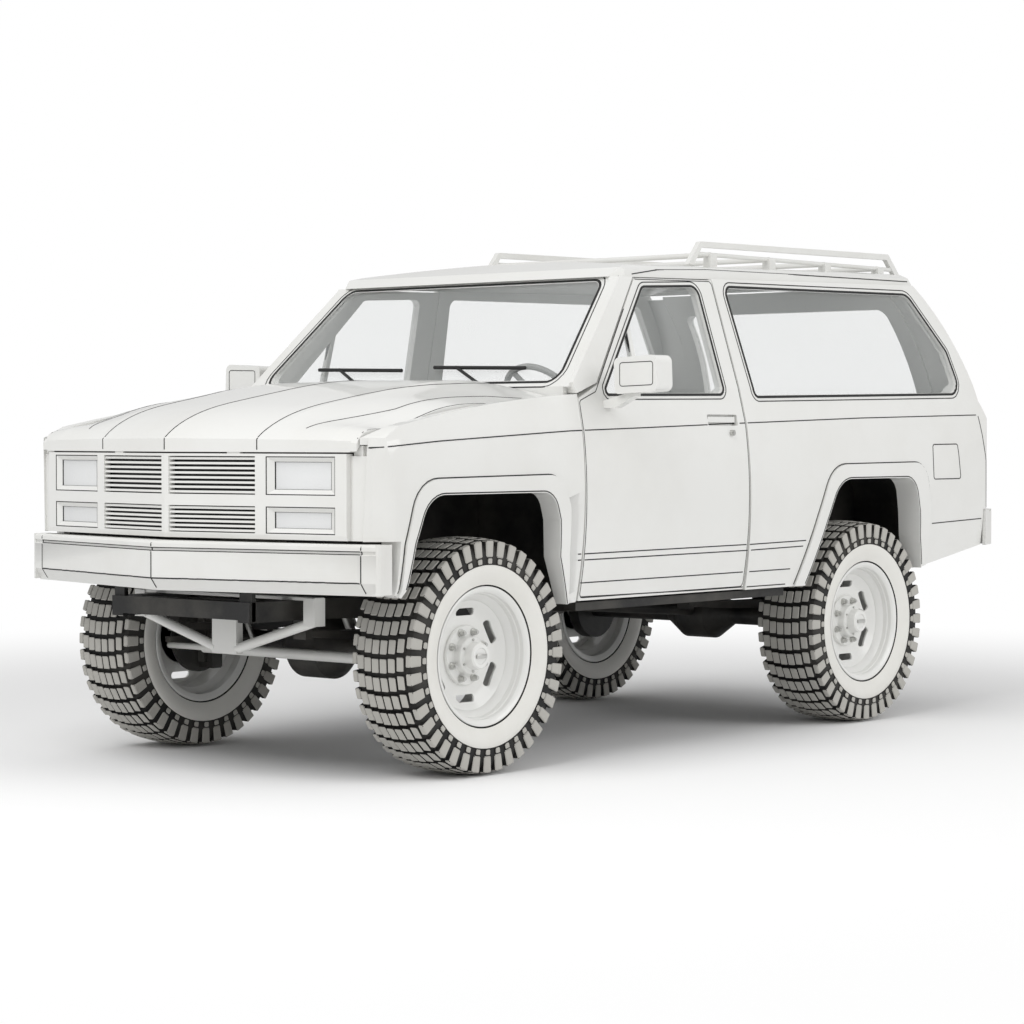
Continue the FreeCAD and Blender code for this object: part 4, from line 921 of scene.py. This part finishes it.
def lay(kind, cover, line, aim, width=line_width, height=line_height, step=0.02, closed=False):
    """Lays a strip along a line, thrown on to the skin along aim, or snapped to it without one."""
    for body, run in on_skin(cover, walked(line, step, closed), aim, step):
        if len(run) > 1:
            if (kind, body) not in strips:
                strips[kind, body] = bmesh.new()
            add_strip(strips[kind, body], run, width, height)


def beside(sign, line):
    """Points (x, z) taken out beside the body."""
    return [(x, sign, z) for x, z in line]


def before_nose(line, sign=1):
    """Points (y, z) taken out ahead of the body."""
    return [(3, sign * y, z) for y, z in line]


def behind_tail(line, sign=1):
    """Points (y, z) taken out behind the body."""
    return [(-3, sign * y, z) for y, z in line]


def over_hood(line, sign=1):
    """Points (x, y) taken up above the body."""
    return [(x, sign * y, 3) for x, y in line]


# Painted shade lines along the side: waist, two creases, the sill's two edges, the crease behind
# the rear wheel and the edge of the rear corner
side_lines = [
    [
        (2.228, 1.286),
        (1.784, 1.318),
        (0.999, 1.358),
        (0.536, 1.371),
        (-0.213, 1.394),
        (-1.124, 1.420),
        (-2.150, 1.440),
    ],
    [(0.947, 0.857), (-0.241, 0.861), (-0.675, 0.866)],
    [(0.943, 0.832), (-0.216, 0.835), (-0.656, 0.841)],
    [(0.915, 0.738), (0.095, 0.739), (-0.573, 0.741)],
    [(0.904, 0.680), (0.078, 0.673), (-0.551, 0.673)],
    [(-1.735, 0.917), (-2.208, 0.931)],
    [(-2.168, 1.435), (-2.199, 1.317), (-2.234, 1.213), (-2.240, 0.967)],
]
# Outlines on the side: x, z and the radius of each corner
fuel_door = [
    (-1.731, 1.296, 0.014),
    (-1.955, 1.298, 0.014),
    (-1.986, 1.130, 0.014),
    (-1.735, 1.130, 0.014),
]
door_edge = [
    (0.909, 0.676, 0.02),
    (0.909, 1.480, 0.02),
    (0.795, 1.519, 0.02),
    (0.383, 2.003, 0.02),
    (-0.166, 2.016, 0.02),
    (-0.214, 1.400, 0.30),
    (-0.234, 0.676, 0.02),
]
door_window = [
    (0.735, 1.514, 0.012),
    (0.334, 1.966, 0.04),
    (-0.048, 1.984, 0.04),
    (-0.088, 1.524, 0.025),
]
quarter_window = [
    (-0.325, 1.516, 0.025),
    (-2.030, 1.548, 0.06),
    (-1.980, 1.745, 0.06),
    (-1.740, 2.012, 0.08),
    (-0.262, 1.990, 0.035),
]
front_flare = [
    (0.970, 0.600, 0.01),
    (1.015, 0.860, 0.01),
    (1.020, 1.050, 0.04),
    (1.075, 1.182, 0.11),
    (1.920, 1.172, 0.15),
    (1.990, 0.930, 0.06),
    (2.015, 0.600, 0.01),
]
front_arch = [
    (0.970, 0.600, 0.01),
    (1.078, 0.850, 0.01),
    (1.090, 1.000, 0.03),
    (1.130, 1.112, 0.09),
    (1.870, 1.112, 0.13),
    (1.940, 0.930, 0.06),
    (2.000, 0.600, 0.01),
]
rear_flare = [
    (-1.710, 0.600, 0.01),
    (-1.700, 0.860, 0.01),
    (-1.710, 1.020, 0.04),
    (-1.660, 1.212, 0.12),
    (-0.870, 1.206, 0.17),
    (-0.760, 0.980, 0.06),
    (-0.590, 0.600, 0.01),
]
rear_arch = [
    (-1.700, 0.600, 0.01),
    (-1.615, 0.860, 0.01),
    (-1.600, 0.980, 0.03),
    (-1.565, 1.140, 0.10),
    (-0.920, 1.140, 0.15),
    (-0.830, 0.960, 0.06),
    (-0.670, 0.600, 0.01),
]
# Outlines on the mirror and on the tail lamp: y, z and radius
mirror_frame = [
    (1.066, 1.540, 0.012),
    (1.066, 1.636, 0.012),
    (1.236, 1.640, 0.012),
    (1.236, 1.545, 0.012),
]
lamp_frame = [
    (0.765, 1.016, 0.004),
    (0.765, 1.244, 0.004),
    (0.904, 1.244, 0.004),
    (0.904, 1.016, 0.004),
]
# Drip rail above the windows: x, y, z
drip_rail = [
    (0.446, 0.792, 2.015),
    (0.193, 0.806, 2.052),
    (-0.188, 0.785, 2.071),
    (-0.885, 0.806, 2.077),
    (-1.795, 0.806, 2.085),
]


def lay_side(side, sign):
    """All lines and seals of one side, its mirror and its tail lamp."""
    door = nodes["door_" + side]
    quarter = nodes["quarter_" + side]
    panels = skin(skins["fender_" + side], door, quarter)
    inward = (0, -sign, 0)
    for line in side_lines:
        lay("body_line", panels, beside(sign, line), inward)
    lay("body_line", panels, beside(sign, rounded(fuel_door)), inward, step=0.01, closed=True)
    arches = ((front_flare, 0.003), (front_arch, 0.006), (rear_flare, 0.003), (rear_arch, 0.006))
    for corners, by in arches:
        outline = beside(sign, grown(corners, by))
        lay("body_line", panels, outline, inward, step=0.015, closed=True)

    mirror = skin(nodes["mirror_" + side])
    outline = before_nose(rounded(mirror_frame), sign)
    lay("body_line", mirror, outline, aft, width=0.004, step=0.006, closed=True)

    lamp = skin(nodes["tail_lamps"])
    outline = behind_tail(rounded(lamp_frame), sign)
    lay("body_line", lamp, outline, forward, width=0.006, step=0.01, closed=True)
    for height in (1.090, 1.166):
        line = behind_tail([(0.765, height), (0.904, height)], sign)
        lay("body_line", lamp, line, forward, width=0.004)

    outline = beside(sign, rounded(door_edge))
    lay("shut_line", skin(door), outline, inward, shut_width, shut_height, 0.015, True)
    for corners in (door_window, quarter_window):
        outline = beside(sign, grown(corners, 0.007))
        lay("window_seal", panels, outline, inward, 0.013, seal_height, 0.01, True)
        outline = beside(sign, grown(corners, 0.026))
        lay("body_line", panels, outline, inward, step=0.01, closed=True)

    eaves = skin(nodes["roof"], quarter, nodes["cowl"])
    lay("body_line", eaves, [(x, sign * y, z) for x, y, z in drip_rail], None)


for side, sign in sides:
    lay_side(side, sign)

windshield = [
    (0.850, 1.566, 0.04),
    (0.738, 1.992, 0.05),
    (-0.738, 1.992, 0.05),
    (-0.850, 1.566, 0.04),
]
cowl_skin = skin(nodes["cowl"])
outline = before_nose(grown(windshield, 0.007))
lay("window_seal", cowl_skin, outline, aft, 0.014, seal_height, 0.012, True)
outline = before_nose(grown(windshield, 0.028))
lay("body_line", cowl_skin, outline, aft, step=0.012, closed=True)

rear_window = [
    (0.660, 1.510, 0.04),
    (0.610, 1.960, 0.05),
    (-0.610, 1.960, 0.05),
    (-0.660, 1.510, 0.04),
]
gate_edge = [
    (0.744, 0.996, 0.01),
    (0.744, 1.500, 0.3),
    (0.678, 2.044, 0.01),
    (-0.678, 2.044, 0.01),
    (-0.744, 1.500, 0.3),
    (-0.744, 0.996, 0.01),
]
gate_skin = skin(nodes["tailgate"])
outline = behind_tail(grown(rear_window, 0.008))
lay("window_seal", gate_skin, outline, forward, 0.014, seal_height, 0.012, True)
outline = behind_tail(rounded(gate_edge))
lay("shut_line", gate_skin, outline, forward, shut_width, shut_height, 0.015, True)
tail_skin = skin(nodes["tailgate"], skins["post_left"], skins["post_right"])
lay("body_line", tail_skin, behind_tail([(0.890, 1.440), (-0.890, 1.440)]), forward)

hood_back = 0.965
hood_skin = skin(nodes["hood"])
for sign in (1, -1):
    line = over_hood([(2.150, 0.897), (hood_back, 0.897)], sign)
    lay("shut_line", hood_skin, line, down, 0.006, shut_height, 0.03)
inner_crease = [
    (2.226, 0.443),
    (2.159, 0.449),
    (1.989, 0.458),
    (1.674, 0.470),
    (1.238, 0.546),
    (hood_back, 0.549),
]
outer_crease = [(2.149, 0.627), (1.801, 0.766), (1.254, 0.756), (hood_back, 0.847)]
lay("body_line", hood_skin, over_hood([(2.300, 0), (hood_back, 0)]), down)
lay("body_line", hood_skin, before_nose([(0, 1.285), (0, 1.330)]), aft, step=0.005)
for sign in (1, -1):
    for crease in (inner_crease, outer_crease):
        lay("body_line", hood_skin, over_hood(crease, sign), down)
    line = before_nose([(0.445, 1.285), (0.445, 1.330)], sign)
    lay("body_line", hood_skin, line, aft, step=0.005)

bumper_skin = skin(skins["front_bumper"])
for height in (0.9035, 0.8915, 0.784):
    lay("body_line", bumper_skin, before_nose([(0.915, height), (-0.915, height)]), aft)
for across in (0.0, 0.920, -0.920):
    lay("body_line", bumper_skin, before_nose([(across, 0.745), (across, 0.922)]), aft, step=0.006)

# The shade lines are black strips of painted shade along creases, edges and grooves, a few on real
# joints such as the fuel door's
for (kind, body), bm in strips.items():
    face_out(bm)
    name = kind + "_" + body
    piece(name, bm, [extruded_seal_rubber], body, "trim_plastic", sharp_angle=40)


# Doors: the vent window's bar and the lock below the handle
for side, sign in sides:
    bm = bmesh.new()
    rod(bm, (0.500, sign * 0.868, 1.785), (0.470, sign * 0.940, 1.512), 0.007, 8)
    face_out(bm)
    piece("vent_bar_" + side, bm, [extruded_seal_rubber], "door_" + side, "trim_plastic")
    bm = bmesh.new()
    rod(bm, (-0.105, sign * 0.960, 1.351), (-0.105, sign * 1.000, 1.351), 0.013, 24)
    rod(bm, (-0.105, sign * 0.999, 1.351), (-0.105, sign * 1.0035, 1.351), 0.0085, 24)
    face_out(bm)
    piece("door_lock_" + side, bm, [bright_zinc], "door_" + side, "trim_plastic")


# Front lamps and grille: bezels, reflectors, rings of painted gap shade round the lamps, and a
# black sheet of painted shade behind the slats
face_station = 2.306
face_sweep = 0.160
lamp_inner = 0.486
lamp_outer = 0.806
grille_inner = 0.020
grille_outer = 0.436
face_rows = ((1.112, 1.260), (0.964, 1.068))
lamp_gap = 0.004
reflector_depth = 0.063
shade_sheet_depth = 0.036


def on_face(limits, depth):
    """The corners of a rectangle (left, low, right, high) at a depth behind the swept nose."""
    left, low, right, high = limits
    return [
        Vector((face_station - face_sweep * abs(across) - depth, across, up))
        for across, up in ((left, low), (right, low), (right, high), (left, high))
    ]


def shrunk(limits, across, up):
    """A rectangle with its sides moved inward."""
    left, low, right, high = limits
    return (left + across, low + up, right - across, high - up)


def set_back(corners, depth):
    """The same corners, further behind the nose."""
    return [corner - Vector((depth, 0, 0)) for corner in corners]


def funnel(bm, outer, inner, outer_depth, inner_depth):
    """Four walls from an outer rectangle in to an inner one, and the same again behind them."""
    front = on_face(outer, outer_depth)
    front_inner = on_face(inner, inner_depth)
    around = (front, front_inner, set_back(front_inner, 0.004), set_back(front, 0.004))
    loops = [[bm.verts.new(corner) for corner in corners] for corners in around]
    for one, other in zip(loops, loops[1:] + loops[:1]):
        join(bm, one, other)


def slab(bm, limits, depth, thickness):
    """A flat plate behind the nose."""
    corners = on_face(limits, depth)
    front = [bm.verts.new(corner) for corner in corners]
    back = [bm.verts.new(corner) for corner in set_back(corners, thickness)]
    bm.faces.new(front)
    bm.faces.new(back)
    join(bm, front, back)


for side, sign in sides:
    bezels, reflectors, gap_shade = bmesh.new(), bmesh.new(), bmesh.new()
    near, far = on_side(sign, lamp_inner, lamp_outer)
    for low, high in face_rows:
        lamp = (near, low, far, high)
        bezel = shrunk(lamp, lamp_gap, lamp_gap)
        glass = shrunk(lamp, 0.032, 0.022)
        funnel(bezels, bezel, glass, 0.002, 0.0185)
        # Black rings at the edge of each lamp hole and round its glass: painted gap shade
        funnel(gap_shade, lamp, bezel, 0.0005, 0.0025)
        funnel(gap_shade, shrunk(glass, -0.003, -0.003), glass, 0.0165, 0.0180)
        slab(reflectors, lamp, reflector_depth, 0.006)
    for name, bm, material, slot in (
        ("lamp_bezels_", bezels, white_enamel, "body_paint"),
        ("lamp_reflectors_", reflectors, lacquered_reflector, "lamp_glass"),
        ("lamp_gap_shade_", gap_shade, extruded_seal_rubber, "trim_plastic"),
    ):
        face_out(bm)
        piece(name + side, bm, [material], "chassis", slot, sharp_angle=0)

# A black sheet behind the grille's cells: painted shade where the space behind the slats lies in
# shadow
shade_sheet = bmesh.new()
for sign in (1, -1):
    for low, high in face_rows:
        cell = (sign * grille_inner, low - 0.003, sign * grille_outer, high + 0.003)
        slab(shade_sheet, cell, shade_sheet_depth, 0.004)
face_out(shade_sheet)
piece("grille_baffle", shade_sheet, [moulded_black_trim], "chassis", "trim_plastic", sharp_angle=0)

# Floor, light and camera
scene = bpy.context.scene
scene.view_settings.view_transform = "Standard"


def floor_material():
    """Pale, with the shadow near the object, and plain white to the camera further off."""
    material = bpy.data.materials.new("pale_floor")
    material.use_nodes = True
    material.node_tree.nodes.clear()
    place = add(material, "ShaderNodeTexCoord")
    far = add(
        material,
        "ShaderNodeVectorMath",
        {"operation": "LENGTH"},
        {0: place.outputs["Object"]},
    )
    fade = add(
        material,
        "ShaderNodeMapRange",
        {"From Min": 2.6, "From Max": 7.5, "interpolation_type": "SMOOTHSTEP"},
        {"Value": far.outputs["Value"]},
    )
    path = add(material, "ShaderNodeLightPath")
    share = add(
        material,
        "ShaderNodeMath",
        {"operation": "MULTIPLY"},
        {0: path.outputs["Is Camera Ray"], 1: fade.outputs["Result"]},
    )
    surface = add(material, "ShaderNodeBsdfDiffuse", {"Color": colour("#f4f4f4")})
    sheet = add(material, "ShaderNodeEmission", {"Color": colour("#ffffff"), "Strength": 1.0})
    mixed = add(
        material,
        "ShaderNodeMixShader",
        links={0: share.outputs[0], 1: surface.outputs["BSDF"], 2: sheet.outputs["Emission"]},
    )
    add(material, "ShaderNodeOutputMaterial", links={"Surface": mixed.outputs[0]})
    return material


bpy.ops.mesh.primitive_plane_add(size=120, location=(0, 0, 0))
floor = bpy.context.active_object
floor.name = "floor"
floor.data.materials.append(floor_material())

# The studio's walls: soft light on the object, plain white to the camera and through glass
world = bpy.data.worlds.new("studio")
scene.world = world
world.use_nodes = True
world.node_tree.nodes.clear()
path = add(world, "ShaderNodeLightPath")
seen = add(
    world,
    "ShaderNodeMath",
    {"operation": "MAXIMUM"},
    {0: path.outputs["Is Camera Ray"], 1: path.outputs["Is Transmission Ray"]},
)
glow = add(world, "ShaderNodeBackground", {"Color": colour("#ffffff"), "Strength": 0.66})
sheet = add(world, "ShaderNodeBackground", {"Color": colour("#ffffff"), "Strength": 1.0})
mixed = add(
    world,
    "ShaderNodeMixShader",
    links={0: seen.outputs[0], 1: glow.outputs[0], 2: sheet.outputs[0]},
)
add(world, "ShaderNodeOutputWorld", links={"Surface": mixed.outputs[0]})


def studio_lamp(name, place, power):
    """A soft square lamp aimed at the middle of the body."""
    lamp = bpy.data.lights.new(name, "AREA")
    lamp.size = 5
    lamp.energy = power
    holder = bpy.data.objects.new(name, lamp)
    scene.collection.objects.link(holder)
    holder.location = place
    aim = Vector((0, 0, 0.8)) - Vector(place)
    holder.rotation_euler = aim.to_track_quat("-Z", "Y").to_euler()


studio_lamp("key_lamp", (6, 1, 7), 300)
studio_lamp("side_lamp", (-2, 8, 5), 190)

yaw = math.radians(40.57)
dip = math.radians(1.6)
lens = bpy.data.cameras.new("view")
lens.lens = 96.5
lens.sensor_width = 36
lens.clip_end = 200
camera = bpy.data.objects.new("view", lens)
scene.collection.objects.link(camera)
camera.location = (9.59, 8.03, 1.34)
level = math.cos(dip)
look = Vector((-math.cos(yaw) * level, -math.sin(yaw) * level, -math.sin(dip)))
camera.rotation_euler = look.to_track_quat("-Z", "Y").to_euler()
scene.camera = camera
